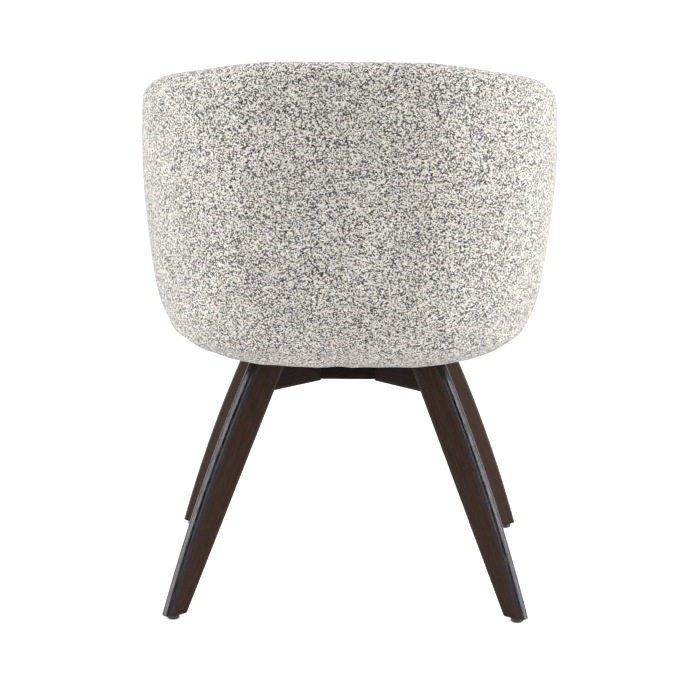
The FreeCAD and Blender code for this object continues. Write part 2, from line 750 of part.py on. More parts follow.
tee_body = doc.addObject("PartDesign::Body", "tee_nut_master")
tee_profile = new_sketch(tee_body, "XZ_Plane", "tee_profile")
draw_outline(tee_profile, (
    ("Sizes.bolt_diameter / 2", "-Sizes.tee_nut_length"),
    ("Sizes.tee_nut_barrel / 2", "-Sizes.tee_nut_length"),
    ("Sizes.tee_nut_barrel / 2", "-Sizes.tee_nut_sheet"),
    ("Sizes.tee_nut_flange / 2", "-Sizes.tee_nut_sheet"),
    ("Sizes.tee_nut_flange / 2", "0"),
    ("Sizes.bolt_diameter / 2", "0"),
))
tee_body.Tip = revolve(tee_body, tee_profile)
tee_places = [turned(direction).multiply(
    Placement(Vector(size("seat_bolt_radius"), 0, deck_bottom), Rotation()))
    for direction in LEG_DIRECTIONS.values()]
tee_nuts = group_copies("tee_nuts", tee_body, tee_places)

DECK_SCREW_ANGLES = (30, 90, 150, 210, 270, 330)
deck_screw_points = [
    Vector(size("deck_screw_radius") * math.cos(math.radians(angle)),
           size("deck_screw_radius") * math.sin(math.radians(angle)) - size("seat_offset"), board_bottom)
    for angle in DECK_SCREW_ANGLES]
deck_screws = group_copies("deck_screws", screw_body, screw_places(deck_screw_points, UP))

# Screws through the band's foot into the deck's edge, each square to the curve
BAND_SCREW_ANGLES = (-185, -176, -150, -120, -90, -60, -30, -4, 5)
band_bottom = deck_top - size("band_lap")
band_screw_level = deck_top - size("band_lap") / 2
band_screw_places = []
head_recesses = []
for angle in BAND_SCREW_ANGLES:
    centre, radius = outline_arcs(band_half_width, angle, angle + 1)[0][:2]
    outward = Vector(math.cos(math.radians(angle)), math.sin(math.radians(angle)), 0)
    head = centre + outward * (radius - size("band_screw_sink")) + Vector(0, 0, band_screw_level)
    band_screw_places += screw_places([head], -outward)
    head_recesses.append(Part.makeCylinder(size("screw_head_diameter") / 2, size("band_thickness"),
                                           head, outward))
band_screws = group_copies("band_screws", screw_body, band_screw_places)

board_plan = plate_solid(size("board_half_width"), board_bottom, size("board_thickness"))
board_blank = solid_feature("board_blank", board_plan)
board_bore = doc.addObject("Part::Cylinder", "board_bore")
board_bore.setExpression("Radius", "Sizes.board_bore / 2")
board_bore.setExpression("Height", "Sizes.board_thickness")
board_bore.setExpression("Placement.Base.z", BOARD_BOTTOM)
drilled("swivel_board", board_blank, [board_bore, seat_bolts, tee_nuts, deck_screws])

deck_plan = plate_solid(band_half_width, deck_bottom, size("deck_thickness"), band_thickness)
deck_blank = solid_feature("deck_blank", deck_plan)
drilled("seat_deck", deck_blank, [deck_screws, band_screws])


def below_rim(clearance):
    """Make the half space below the sloping rim, lowered by a clearance."""
    reach = 500.0
    middle = size("rim_height") + size("rim_slope") * size("rim_height_at") - clearance
    rise = size("rim_slope") * reach
    corners = [Vector(-reach, -reach, 0), Vector(-reach, reach, 0),
               Vector(-reach, reach, middle - rise), Vector(-reach, -reach, middle + rise)]
    return Part.Face(Part.makePolygon(corners + corners[:1])).extrude(Vector(2 * reach, 0, 0))


def leaning_arc(centre, radius, first, last, profile):
    """Turn a profile of (distance out from the radius, height) about an arc's centre."""
    direction = Vector(math.cos(first), math.sin(first), 0)
    corners = [centre + direction * (radius + out) + Vector(0, 0, height) for out, height in profile]
    face = Part.Face(Part.makePolygon(corners + corners[:1]))
    return face.revolve(centre, UP, math.degrees(last - first))


def build_band():
    """Build the band arc by arc: upright where it laps the deck, then flaring up to the rim."""
    flare = size("band_flare")
    outside = ((0, band_bottom), (0, deck_top), (flare, ABOVE_RIM))
    profile = outside + tuple((out - band_thickness, height) for out, height in reversed(outside))
    end_angle = size("band_end_angle")
    pieces = [leaning_arc(*arc, profile)
              for arc in outline_arcs(band_half_width, -180 - end_angle, end_angle)]
    band = pieces[0].fuse(pieces[1:]).removeSplitter()
    return band.common(below_rim(size("band_below_rim")))


ABOVE_RIM = 850.0
band_plan = build_band()
band_blank = solid_feature("band_blank", band_plan)
drilled("back_band", band_blank, [band_screws, solid_feature("recesses", Part.makeCompound(head_recesses))])


# Upholstered tub: a round-bottomed bowl whose wall rises in a C round the back and sides

BOWL_LEVELS = (355.0, 356.5, 360.0, 368.0, 378.0)
WALL_LEVELS = (415.0, 450.0, 500.0)
RIM_STEPS = 4
platform = deck_top + size("platform_padding")
straight_from = size("tub_straight_from")


def wall_at(level):
    """Give the wall's thickness at a level: its inside leans out in a straight line to the rim."""
    share = (level - platform) / (straight_from - platform)
    foot = size("wall_foot_inside")
    inside = foot + (size("tub_half_width") - size("wall_thickness") - foot) * share
    return tub_half_width(level) - inside


def build_rim():
    """Loft the rolled rim: level outlines, each further in and higher, slanted to the rim's slope.

    At turn t of the quarter circle the outline is drawn in by R (1 - cos t) and lies R (1 - sin t)
    below the crest.
    """
    half_width = size("tub_half_width")
    thickness = size("wall_thickness")
    radius = size("rim_radius")
    crest = size("rim_height") + size("rim_slope") * size("rim_height_at")
    slant = FreeCAD.Matrix()
    slant.A32 = -size("rim_slope")
    wires = []
    for step in range(RIM_STEPS + 1):
        turn = math.pi / 2 * step / RIM_STEPS
        height = crest - radius * (1 - math.sin(turn))
        wire = wall_outline(half_width, thickness, height, radius * (1 - math.cos(turn)))
        wires.append(wire.transformGeometry(slant))
    return Part.makeLoft(wires, True, True)


def build_tub():
    """Join the bowl, the wall and the rolled rim, and hollow out the seats of the frame."""
    bowl = Part.makeLoft([closed_outline(tub_half_width(level), level)
                          for level in BOWL_LEVELS + (platform,)], True, True)
    wires = [wall_outline(tub_half_width(level), wall_at(level), level)
             for level in (platform,) + WALL_LEVELS + (straight_from,)]
    lower_wall = Part.makeLoft(wires, True, True)
    upper_wall = Part.Face(wires[-1]).extrude(Vector(0, 0, ABOVE_RIM - straight_from))
    upper_wall = upper_wall.common(below_rim(size("rim_radius")))
    shell = bowl.fuse([lower_wall, upper_wall, build_rim()])
    opening = plate_solid(size("opening_half_width"), size("tub_bottom"),
                          board_bottom - size("tub_bottom"))
    return shell.cut([opening, board_plan, deck_plan, band_plan])


keep(solid_feature("tub_upholstery", build_tub()), "tub_upholstery")


# Seat cushion: a crowned cushion between the arms that runs out over the front edge

def arc_from(start, heading, end):
    """Make the arc that leaves start along a heading and reaches end."""
    chord = end - start
    swing = heading.getAngle(chord) / 2
    side = (heading - chord.normalize() * math.cos(2 * swing)).normalize()
    middle = (start + end) * 0.5 + side * (start.distanceToPoint(end) / 2 * math.tan(swing))
    return Part.Arc(start, middle, end)


def cushion_outline(share, level):
    """Make the cushion's outline, drawn in to a share of its full size about its middle.

    The back and sides follow the tub's inside. Past the arms the sides run forward, and the front
    edge is a long shallow arc with round corners.
    """
    turn = size("cushion_turn_angle")
    rear = outline_arcs(tub_half_width(platform), -180 - turn, turn,
                        wall_at(platform) + size("cushion_gap"))
    front = size("tub_half_width") * size("rear_share") + size("seat_offset")
    corner = size("cushion_corner")
    shoulder_level = front - size("cushion_front_bow")
    centre, radius, opening, last = rear[-1]
    start = centre + Vector(math.cos(last), math.sin(last), 0) * radius
    neck = Vector(size("cushion_neck"), size("cushion_neck_at"), 0)
    side_end = Vector(neck.x - size("cushion_neck_draw"), shoulder_level - corner, 0)
    nose = side_end + Vector(-corner, corner, 0)
    turning = side_end + Vector(math.cos(math.pi / 4) - 1, math.sin(math.pi / 4), 0) * corner
    right = [
        arc_from(start, Vector(-math.sin(last), math.cos(last), 0), neck),
        Part.LineSegment(neck, side_end),
        Part.Arc(side_end, turning, nose),
    ]
    edges = [arc_edge(*arc, 0) for arc in rear] + [piece.toShape() for piece in right]
    edges.append(Part.Arc(nose, Vector(0, front, 0), Vector(-nose.x, nose.y, 0)).toShape())
    edges += [piece.toShape().mirror(Vector(), Vector(1, 0, 0)) for piece in reversed(right)]
    outline = Part.Wire(edges)
    outline.scale(share, Vector(0, (front - size("wall_foot_inside")) / 2, 0))
    outline.translate(Vector(0, 0, level))
    return outline


FOOT_STEPS = 2
SIDE_STEPS = 4
CROWN_STEPS = 2


def build_cushion():
    """Loft the cushion from its flat underside, out round its sides and in over its crown.

    The side is two quarter ellipses, and the crown falls away from its middle by the square of
    the distance.
    """
    bottom = platform + size("cushion_rise")
    widest = bottom + size("cushion_foot_rise")
    shoulder = size("cushion_top") - size("cushion_crown")
    foot_draw = size("cushion_foot_draw")
    edge_draw = size("cushion_edge_draw")
    summit = size("cushion_summit")
    wires = []
    for step in range(FOOT_STEPS):
        angle = math.pi / 2 * step / FOOT_STEPS
        wires.append(cushion_outline(1 - foot_draw * (1 - math.sin(angle)),
                                     widest - size("cushion_foot_rise") * math.cos(angle)))
    for step in range(SIDE_STEPS + 1):
        angle = math.radians(size("cushion_edge_turn")) * step / SIDE_STEPS
        edge_share = 1 - edge_draw * (1 - math.cos(angle))
        edge_level = widest + (shoulder - widest) * math.sin(angle)
        wires.append(cushion_outline(edge_share, edge_level))
    rise = size("cushion_top") - edge_level
    for step in range(1, CROWN_STEPS + 1):
        fall = 1 - step / CROWN_STEPS
        share = summit + fall * (edge_share - summit)
        wires.append(cushion_outline(share, edge_level + rise * (1 - fall ** 2)))
    return Part.makeLoft(wires, True, True)


keep(solid_feature("seat_cushion", build_cushion()), "seat_cushion")


# Dust cover under the seat, with a window for the turntable, and its staples

cover_bottom = board_bottom - size("cover_thickness")
cover_plan = plate_solid(size("opening_half_width") - size("cover_gap"), cover_bottom,
                         size("cover_thickness"))
cover_blank = solid_feature("cover_blank", cover_plan)
cover_window = doc.addObject("Part::Box", "cover_window")
cover_window.setExpression("Length", "Sizes.cover_window")
cover_window.setExpression("Width", "Sizes.cover_window")
cover_window.setExpression("Height", "Sizes.cover_thickness")
window_half = size("cover_window") / 2
cover_window.Placement = Placement(Vector(-window_half, -window_half, cover_bottom), Rotation())
drilled("dust_cover", cover_blank, [cover_window])

wire = size("staple_wire")
staple_half = size("staple_width") / 2
staple_leg = size("staple_leg")
staple_corners = [Vector(-staple_half, 0, -wire), Vector(staple_half, 0, -wire),
                  Vector(staple_half, 0, staple_leg), Vector(staple_half - wire, 0, staple_leg),
                  Vector(staple_half - wire, 0, 0), Vector(wire - staple_half, 0, 0),
                  Vector(wire - staple_half, 0, staple_leg), Vector(-staple_half, 0, staple_leg)]
staple_face = Part.Face(Part.makePolygon(staple_corners + staple_corners[:1]))
staple = solid_feature("staple_master", staple_face.extrude(Vector(0, wire, 0)))
STAPLE_STEP = 20
staple_places = []
for angle in range(0, 360, STAPLE_STEP):
    centre, radius = outline_arcs(size("staple_half_width"), angle, angle + 1)[0][:2]
    outward = Vector(math.cos(math.radians(angle)), math.sin(math.radians(angle)), 0)
    place = centre + outward * radius + Vector(0, 0, cover_bottom)
    staple_places.append(Placement(place, Rotation(UP, angle + 90)))
group_copies("cover_staples", staple, staple_places)


# Check and write every sub-part

doc.recompute()
for thing in doc.Objects:
    if "Invalid" in thing.State or "Error" in thing.State:
        raise RuntimeError("%s did not build: %s" % (thing.Label, thing.State))
for node in nodes:
    if node.Shape.isNull() or not node.Shape.isValid():
        raise RuntimeError("%s has no valid shape" % node.Label)
for node in nodes:
    node.Shape.exportStep("parts/%s.step" % node.Label)
    print("%-22s %2d solids %10.1f mm3" % (node.Label, len(node.Shape.Solids), node.Shape.Volume))
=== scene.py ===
import logging
import math
from dataclasses import dataclass, field
from enum import Enum
from typing import Any, Sequence

import bmesh
import bpy
import numpy as np
from mathutils import Matrix, Vector


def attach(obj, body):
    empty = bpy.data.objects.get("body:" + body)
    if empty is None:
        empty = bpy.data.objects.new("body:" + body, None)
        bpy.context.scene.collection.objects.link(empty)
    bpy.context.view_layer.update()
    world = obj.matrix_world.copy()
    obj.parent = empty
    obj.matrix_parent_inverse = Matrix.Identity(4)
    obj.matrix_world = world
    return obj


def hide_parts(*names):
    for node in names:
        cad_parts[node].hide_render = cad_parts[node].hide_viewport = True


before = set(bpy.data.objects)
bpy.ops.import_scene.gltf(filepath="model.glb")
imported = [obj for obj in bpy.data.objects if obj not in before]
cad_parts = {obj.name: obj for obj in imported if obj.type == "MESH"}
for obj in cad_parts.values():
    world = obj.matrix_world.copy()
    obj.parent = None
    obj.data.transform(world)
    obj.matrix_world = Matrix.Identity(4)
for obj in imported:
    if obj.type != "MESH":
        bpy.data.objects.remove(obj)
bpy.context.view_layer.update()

# Looks of the swivel dining chair: metres, +Z up, the origin on the swivel axis at floor level,
# and the sitter faces +Y. The camera stands behind the chair, as in the photograph.

log = logging.getLogger("dining_chair")
MM = 0.001
TURN = 2 * math.pi


class Slot(Enum):
    """Material slots of the record that pieces take their finish from."""

    DARK_WOOD = "dark_wood"
    BEECH = "beech"
    NYLON = "nylon"
    BLACK_STEEL = "black_steel"
    ZINC = "zinc_steel"
    BRIGHT_STEEL = "bright_steel"
    CAGE = "cage_plastic"
    PLYWOOD = "plywood"
    BOUCLE = "boucle"
    LINING = "lining"


class Body(Enum):
    """Rigid bodies of the chair's frame."""

    BASE = "base"
    BEARING = "bearing"
    SEAT = "seat"


class Corner(Enum):
    """The four legs and arms, with the direction of each about the swivel axis."""

    FRONT_RIGHT = 45
    FRONT_LEFT = 135
    REAR_LEFT = 225
    REAR_RIGHT = 315


# Node wiring

@dataclass
class Wiring:
    """Adds nodes to one tree and joins them."""

    tree: Any

    def add(self, kind: str, **settings: Any) -> Any:
        """Make a node.

        Args:
            kind: the node's type name.
            settings: values of its properties.

        Returns:
            The new node.
        """
        node = self.tree.nodes.new(kind)
        for name, setting in settings.items():
            setattr(node, name, setting)
        return node

    def feed(self, socket: Any, source: Any) -> None:
        """Give a socket another node's output, or a plain value.

        Args:
            socket: the input that is fed.
            source: an output socket, a number or a tuple.
        """
        if isinstance(source, bpy.types.NodeSocket):
            self.tree.links.new(source, socket)
        else:
            socket.default_value = source

    def math(self, operation: str, *terms: Any, clamp: bool = False) -> Any:
        """Work out one sum, product or other operation.

        Args:
            operation: the Math node's operation.
            terms: sockets or numbers.
            clamp: whether the answer stays from 0 to 1.

        Returns:
            The output socket.
        """
        node = self.add("ShaderNodeMath", operation=operation, use_clamp=clamp)
        for socket, term in zip(node.inputs, terms):
            self.feed(socket, term)
        return node.outputs[0]

    def mix(self, share: Any, first: Any, second: Any, blend: str = "MIX") -> Any:
        """Mix two colours.

        Args:
            share: how much of the second shows.
            first: the first colour.
            second: the second colour.
            blend: the blend type.

        Returns:
            The mixed colour's socket.
        """
        node = self.add("ShaderNodeMix", data_type="RGBA", blend_type=blend)
        self.feed(node.inputs[0], share)
        self.feed(node.inputs[6], first)
        self.feed(node.inputs[7], second)
        return node.outputs[2]

    def grey(self, level: Any) -> Any:
        """Make a grey colour of one level."""
        node = self.add("ShaderNodeCombineColor")
        for socket in node.inputs[:3]:
            self.feed(socket, level)
        return node.outputs[0]

    def noise(self, vector: Any, scale: Any, detail: float = 2.0, roughness: float = 0.5) -> Any:
        """Sample fractal noise from about 0 to 1 at a vector."""
        node = self.add("ShaderNodeTexNoise")
        self.feed(node.inputs["Vector"], vector)
        self.feed(node.inputs["Scale"], scale)
        node.inputs["Detail"].default_value = detail
        node.inputs["Roughness"].default_value = roughness
        return node.outputs["Fac"]

    def spread(self, source: Any, low: float, high: float, new_low: float = 0.0,
               new_high: float = 1.0) -> Any:
        """Stretch a value from one range to another and clamp it."""
        node = self.add("ShaderNodeMapRange")
        for socket, term in zip(node.inputs, (source, low, high, new_low, new_high)):
            self.feed(socket, term)
        return node.outputs[0]


def fresh_wiring(owner: Any) -> Wiring:
    """Empty the node tree of a material or a world and give its wiring."""
    owner.use_nodes = True
    owner.node_tree.nodes.clear()
    return Wiring(owner.node_tree)


def new_group(name: str, inputs: Sequence[tuple[str, str, Any]],
              outputs: Sequence[tuple[str, str]]) -> tuple[Any, Wiring, Any, Any]:
    """Start a shader node group with named sockets.

    Args:
        name: the group's name.
        inputs: name, socket type and default of each input.
        outputs: name and socket type of each output.

    Returns:
        The group, its wiring, its input node and its output node.
    """
    group = bpy.data.node_groups.new(name, "ShaderNodeTree")
    for label, kind, default in inputs:
        socket = group.interface.new_socket(label, in_out="INPUT", socket_type=kind)
        if default is not None:
            socket.default_value = default
    for label, kind in outputs:
        group.interface.new_socket(label, in_out="OUTPUT", socket_type=kind)
    wiring = Wiring(group)
    return group, wiring, wiring.add("NodeGroupInput"), wiring.add("NodeGroupOutput")


FLOAT, COLOUR, VECTOR = "NodeSocketFloat", "NodeSocketColor", "NodeSocketVector"


# The fleck weave: shades of the pale loops, how many flecks are dark, and where the gaps between loops
# start and end, as shares of the loop size
LOOP_RANDOMNESS = 0.95
LEAST_SHADE, SHADE_RANGE = 0.66, 0.34
DARK_PART = 0.36
GAP_START, GAP_END = 0.42, 0.85
FIBRES_PER_LOOP, FIBRE_HEIGHT = 4.0, 0.25
GAP_ROUGHNESS, LOOP_ROUGHNESS = 1.0, 0.86


def build_fleck_weave() -> Any:
    """Make the group of a nubby loop weave with dark flecks.

    Each loop is a cell of a random cell pattern. A loop's height falls with the square of the
    distance from its middle, its tone is drawn at random by cell, and the gaps between loops are
    shaded.

    Returns:
        The node group.
    """
    group, wiring, entry, leave = new_group(
        "fleck_weave",
        (("Vector", VECTOR, None), ("Loop Size", FLOAT, 0.003), ("Pale", COLOUR, (0.8, 0.8, 0.8, 1)),
         ("Grey", COLOUR, (0.3, 0.3, 0.3, 1)), ("Dark", COLOUR, (0.05, 0.05, 0.05, 1)),
         ("Fleck Share", FLOAT, 0.3), ("Gap Shade", FLOAT, 0.5)),
        (("Color", COLOUR), ("Roughness", FLOAT), ("Height", FLOAT)))
    place = entry.outputs["Vector"]
    pitch = wiring.math("DIVIDE", 1.0, entry.outputs["Loop Size"])
    cells = wiring.add("ShaderNodeTexVoronoi", feature="F1")
    wiring.feed(cells.inputs["Vector"], place)
    wiring.feed(cells.inputs["Scale"], pitch)
    cells.inputs["Randomness"].default_value = LOOP_RANDOMNESS
    split = wiring.add("ShaderNodeSeparateColor")
    wiring.feed(split.inputs[0], cells.outputs["Color"])
    chance = split.outputs[0]
    second_chance = split.outputs[1]
    distance = cells.outputs["Distance"]
    nub = wiring.math("SUBTRACT", 1.0, wiring.math("POWER", distance, 2.0), clamp=True)
    # Tone by cell: most loops pale with their own shade, a share grey, a few dark
    shade = wiring.math("MULTIPLY_ADD", second_chance, SHADE_RANGE, LEAST_SHADE)
    pale = wiring.mix(1.0, entry.outputs["Pale"], wiring.grey(shade), "MULTIPLY")
    is_grey = wiring.math("LESS_THAN", chance, entry.outputs["Fleck Share"])
    dark_share = wiring.math("MULTIPLY", entry.outputs["Fleck Share"], DARK_PART)
    is_dark = wiring.math("LESS_THAN", chance, dark_share)
    tone = wiring.mix(is_grey, pale, entry.outputs["Grey"])
    tone = wiring.mix(is_dark, tone, entry.outputs["Dark"])
    gap = wiring.spread(distance, GAP_START, GAP_END)
    gap = wiring.math("MULTIPLY", gap, entry.outputs["Gap Shade"])
    tone = wiring.mix(gap, tone, entry.outputs["Dark"])
    wiring.feed(leave.inputs["Color"], tone)
    fibres = wiring.noise(place, wiring.math("MULTIPLY", pitch, FIBRES_PER_LOOP), 1.0)
    height = wiring.math("MULTIPLY_ADD", fibres, FIBRE_HEIGHT, nub)
    wiring.feed(leave.inputs["Height"], height)
    wiring.feed(leave.inputs["Roughness"], wiring.spread(nub, 0.0, 1.0, GAP_ROUGHNESS, LOOP_ROUGHNESS))
    return group


# The wood grain: scale across and along it per metre and detail of the noises of rings and pores
RING_NOISE = (150.0, 7.0, 3.0)
PORE_NOISE = (1500.0, 42.0, 1.0)
RING_REPEATS, RING_HEIGHT = 5.0, 0.25
PORE_COLOUR, PORE_ROUGHNESS = (0.004, 0.003, 0.002, 1), 0.15


def build_wood_grain() -> Any:
    """Make the group of a straight wood grain: long stretched noise with fine pores along it.

    Returns:
        The node group, whose vector runs along the grain in its Y.
    """
    group, wiring, entry, leave = new_group(
        "wood_grain",
        (("Vector", VECTOR, None), ("Early Wood", COLOUR, (0.3, 0.2, 0.1, 1)),
         ("Late Wood", COLOUR, (0.2, 0.1, 0.05, 1)), ("Pore Shade", FLOAT, 0.4), ("Seed", FLOAT, 0.0)),
        (("Color", COLOUR), ("Roughness Shift", FLOAT), ("Height", FLOAT)))
    shift = wiring.add("ShaderNodeCombineXYZ")
    wiring.feed(shift.inputs[0], entry.outputs["Seed"])
    wiring.feed(shift.inputs[1], entry.outputs["Seed"])
    moved = wiring.add("ShaderNodeVectorMath", operation="ADD")
    wiring.feed(moved.inputs[0], entry.outputs["Vector"])
    wiring.feed(moved.inputs[1], shift.outputs[0])

    def stretched(across: float, along: float, detail: float) -> Any:
        """Sample noise that is scaled differently across and along the grain."""
        scaled = wiring.add("ShaderNodeVectorMath", operation="MULTIPLY")
        wiring.feed(scaled.inputs[0], moved.outputs[0])
        scaled.inputs[1].default_value = (across, along, across)
        return wiring.noise(scaled.outputs[0], 1.0, detail, 0.6)

    rings = stretched(*RING_NOISE)
    rings = wiring.spread(wiring.math("FRACT", wiring.math("MULTIPLY", rings, RING_REPEATS)), 0.1, 0.95)
    pores = wiring.spread(stretched(*PORE_NOISE), 0.60, 0.72)
    tone = wiring.mix(rings, entry.outputs["Early Wood"], entry.outputs["Late Wood"])
    shade = wiring.math("MULTIPLY", pores, entry.outputs["Pore Shade"])
    tone = wiring.mix(shade, tone, PORE_COLOUR)
    wiring.feed(leave.inputs["Color"], tone)
    wiring.feed(leave.inputs["Roughness Shift"], wiring.math("MULTIPLY", pores, PORE_ROUGHNESS))
    ring_height = wiring.math("MULTIPLY", rings, RING_HEIGHT)
    wiring.feed(leave.inputs["Height"], wiring.math("MULTIPLY_ADD", pores, -1.0, ring_height))
    return group


# Scales per metre of the patches of wear, and of dust's patches and specks
WEAR_SCALE = 45.0
DUST_PATCH_SCALE, DUST_SPECK_SCALE = 14.0, 900.0


def build_edge_wear() -> Any:
    """Make the group that breaks up a mask along edges with noise.

    Returns:
        The node group.
    """
    group, wiring, entry, leave = new_group(
        "edge_wear", (("Vector", VECTOR, None), ("Edge", FLOAT, 0.0), ("Amount", FLOAT, 0.5)),
        (("Mask", FLOAT),))
    patch = wiring.spread(wiring.noise(entry.outputs["Vector"], WEAR_SCALE, 3.0), 0.35, 0.75)
    worn = wiring.math("MULTIPLY", wiring.math("MULTIPLY", entry.outputs["Edge"], patch),
                       entry.outputs["Amount"], clamp=True)
    wiring.feed(leave.inputs["Mask"], worn)
    return group


def build_dust_film() -> Any:
    """Make the group of thin uneven dust: fine noise gathered into broad soft patches.

    Returns:
        The node group.
    """
    group, wiring, entry, leave = new_group(
        "dust_film", (("Vector", VECTOR, None), ("Amount", FLOAT, 0.1)), (("Mask", FLOAT),))
    broad = wiring.spread(wiring.noise(entry.outputs["Vector"], DUST_PATCH_SCALE, 3.0), 0.35, 0.7)
    fine = wiring.spread(wiring.noise(entry.outputs["Vector"], DUST_SPECK_SCALE, 1.0), 0.45, 0.7)
    both = wiring.math("MULTIPLY", broad, fine)
    wiring.feed(leave.inputs["Mask"], wiring.math("MULTIPLY", both, entry.outputs["Amount"]))
    return group


@dataclass
class SharedGroups:
    """The node groups that several finishes place."""

    weave: Any = field(default_factory=build_fleck_weave)
    grain: Any = field(default_factory=build_wood_grain)
    wear: Any = field(default_factory=build_edge_wear)
    dust: Any = field(default_factory=build_dust_film)


@dataclass
class Surface:
    """A material that is being wired: its tree, its shader and its coordinates."""

    name: str
    material: Any = field(init=False)
    wiring: Wiring = field(init=False)
    shader: Any = field(init=False)
    coordinates: Any = field(init=False)
    spot: Any = field(init=False)

    def __post_init__(self) -> None:
        """Make the material with a plain shader."""
        self.material = bpy.data.materials.new(self.name)
        self.wiring = fresh_wiring(self.material)
        self.shader = self.wiring.add("ShaderNodeBsdfPrincipled")
        leave = self.wiring.add("ShaderNodeOutputMaterial")
        self.wiring.feed(leave.inputs[0], self.shader.outputs[0])
        self.coordinates = self.wiring.add("ShaderNodeTexCoord")
        self.spot = self.coordinates.outputs["Object"]

    def place(self, group: Any, **values: Any) -> Any:
        """Place a shared group with this finish's own values; an underscore stands for a space."""
        node = self.wiring.add("ShaderNodeGroup", node_tree=group)
        for name, source in values.items():
            self.wiring.feed(node.inputs[name.replace("_", " ")], source)
        return node

    def set(self, **values: Any) -> None:
        """Set constants on the shader's own sockets; an underscore stands for a space."""
        for name, constant in values.items():
            self.shader.inputs[name.replace("_", " ")].default_value = constant

    def bump(self, height: Any, depth: float, strength: float = 1.0) -> None:
        """Feed a height to the shader's normal, with its depth in metres."""
        node = self.wiring.add("ShaderNodeBump")
        node.inputs["Strength"].default_value = strength
        node.inputs["Distance"].default_value = depth
        self.wiring.feed(node.inputs["Height"], height)
        self.wiring.feed(self.shader.inputs["Normal"], node.outputs[0])

    def give(self, socket: str, source: Any) -> None:
        """Feed one of the shader's sockets."""
        self.wiring.feed(self.shader.inputs[socket], source)


@dataclass(frozen=True)
class Patches:
    """Soft patches of noise: scale per metre, detail, and the levels between which they fade."""

    scale: float
    detail: float = 3.0
    low: float = 0.3
    high: float = 0.7

    def wire(self, surface: Surface, least: float = 0.0, most: float = 1.0) -> Any:
        """Lay the patches over a surface, from a least to a most value."""
        noise = surface.wiring.noise(surface.spot, self.scale, self.detail)
        return surface.wiring.spread(noise, self.low, self.high, least, most)


@dataclass(frozen=True)
class Dust:
    """A film of dust: how much of it lies where it is thickest, and its colour."""

    amount: float
    colour: tuple[float, ...]

    def lay(self, surface: Surface, groups: SharedGroups, tone: Any) -> None:
        """Lay the dust over a tone and give the surface both as its colour."""
        film = surface.place(groups.dust, Vector=surface.spot, Amount=self.amount)
        surface.give("Base Color", surface.wiring.mix(film.outputs["Mask"], tone, self.colour))


@dataclass(frozen=True)
class Finish:
    """A material of the chair, of which each kind wires its own nodes."""

    name: str

    def build(self, groups: SharedGroups) -> Any:
        """Make the material and wire it."""
        surface = Surface(self.name)
        self.wire(surface, surface.wiring, groups)
        return surface.material

    def wire(self, surface: Surface, wiring: Wiring, groups: SharedGroups) -> None:
        """Wire the kind's own nodes."""
        raise NotImplementedError


@dataclass(frozen=True)
class FleckWeave(Finish):
    """Nubby off-white loop weave with grey and black flecks."""

    name: str = "fleck_weave_cloth"
    loop_size: float = 1.55 * MM
    pale: tuple[float, ...] = (0.97, 0.925, 0.865, 1)
    grey: tuple[float, ...] = (0.15, 0.138, 0.127, 1)
    dark: tuple[float, ...] = (0.012, 0.010, 0.009, 1)
    fleck_share: float = 0.40
    gap_shade: float = 0.44
    depth: float = 1.1 * MM
    mottle: Patches = Patches(17.0, 2.0)
    mottle_range: tuple[float, float] = (0.93, 1.04)
    specular: float = 0.15
    sheen: float = 0.25
    sheen_roughness: float = 0.6

    def wire(self, surface: Surface, wiring: Wiring, groups: SharedGroups) -> None:
        """Wire the cloth: loops, soft mottling over a hand's width, and a little sheen."""
        weave = surface.place(groups.weave, Vector=surface.spot, Loop_Size=self.loop_size, Pale=self.pale,
                              Grey=self.grey, Dark=self.dark, Fleck_Share=self.fleck_share,
                              Gap_Shade=self.gap_shade)
        mottle = self.mottle.wire(surface, *self.mottle_range)
        tone = wiring.mix(1.0, weave.outputs["Color"], wiring.grey(mottle), "MULTIPLY")
        surface.give("Base Color", tone)
        surface.give("Roughness", weave.outputs["Roughness"])
        surface.set(Specular_IOR_Level=self.specular, Sheen_Weight=self.sheen,
                    Sheen_Roughness=self.sheen_roughness)
        surface.bump(weave.outputs["Height"], self.depth)


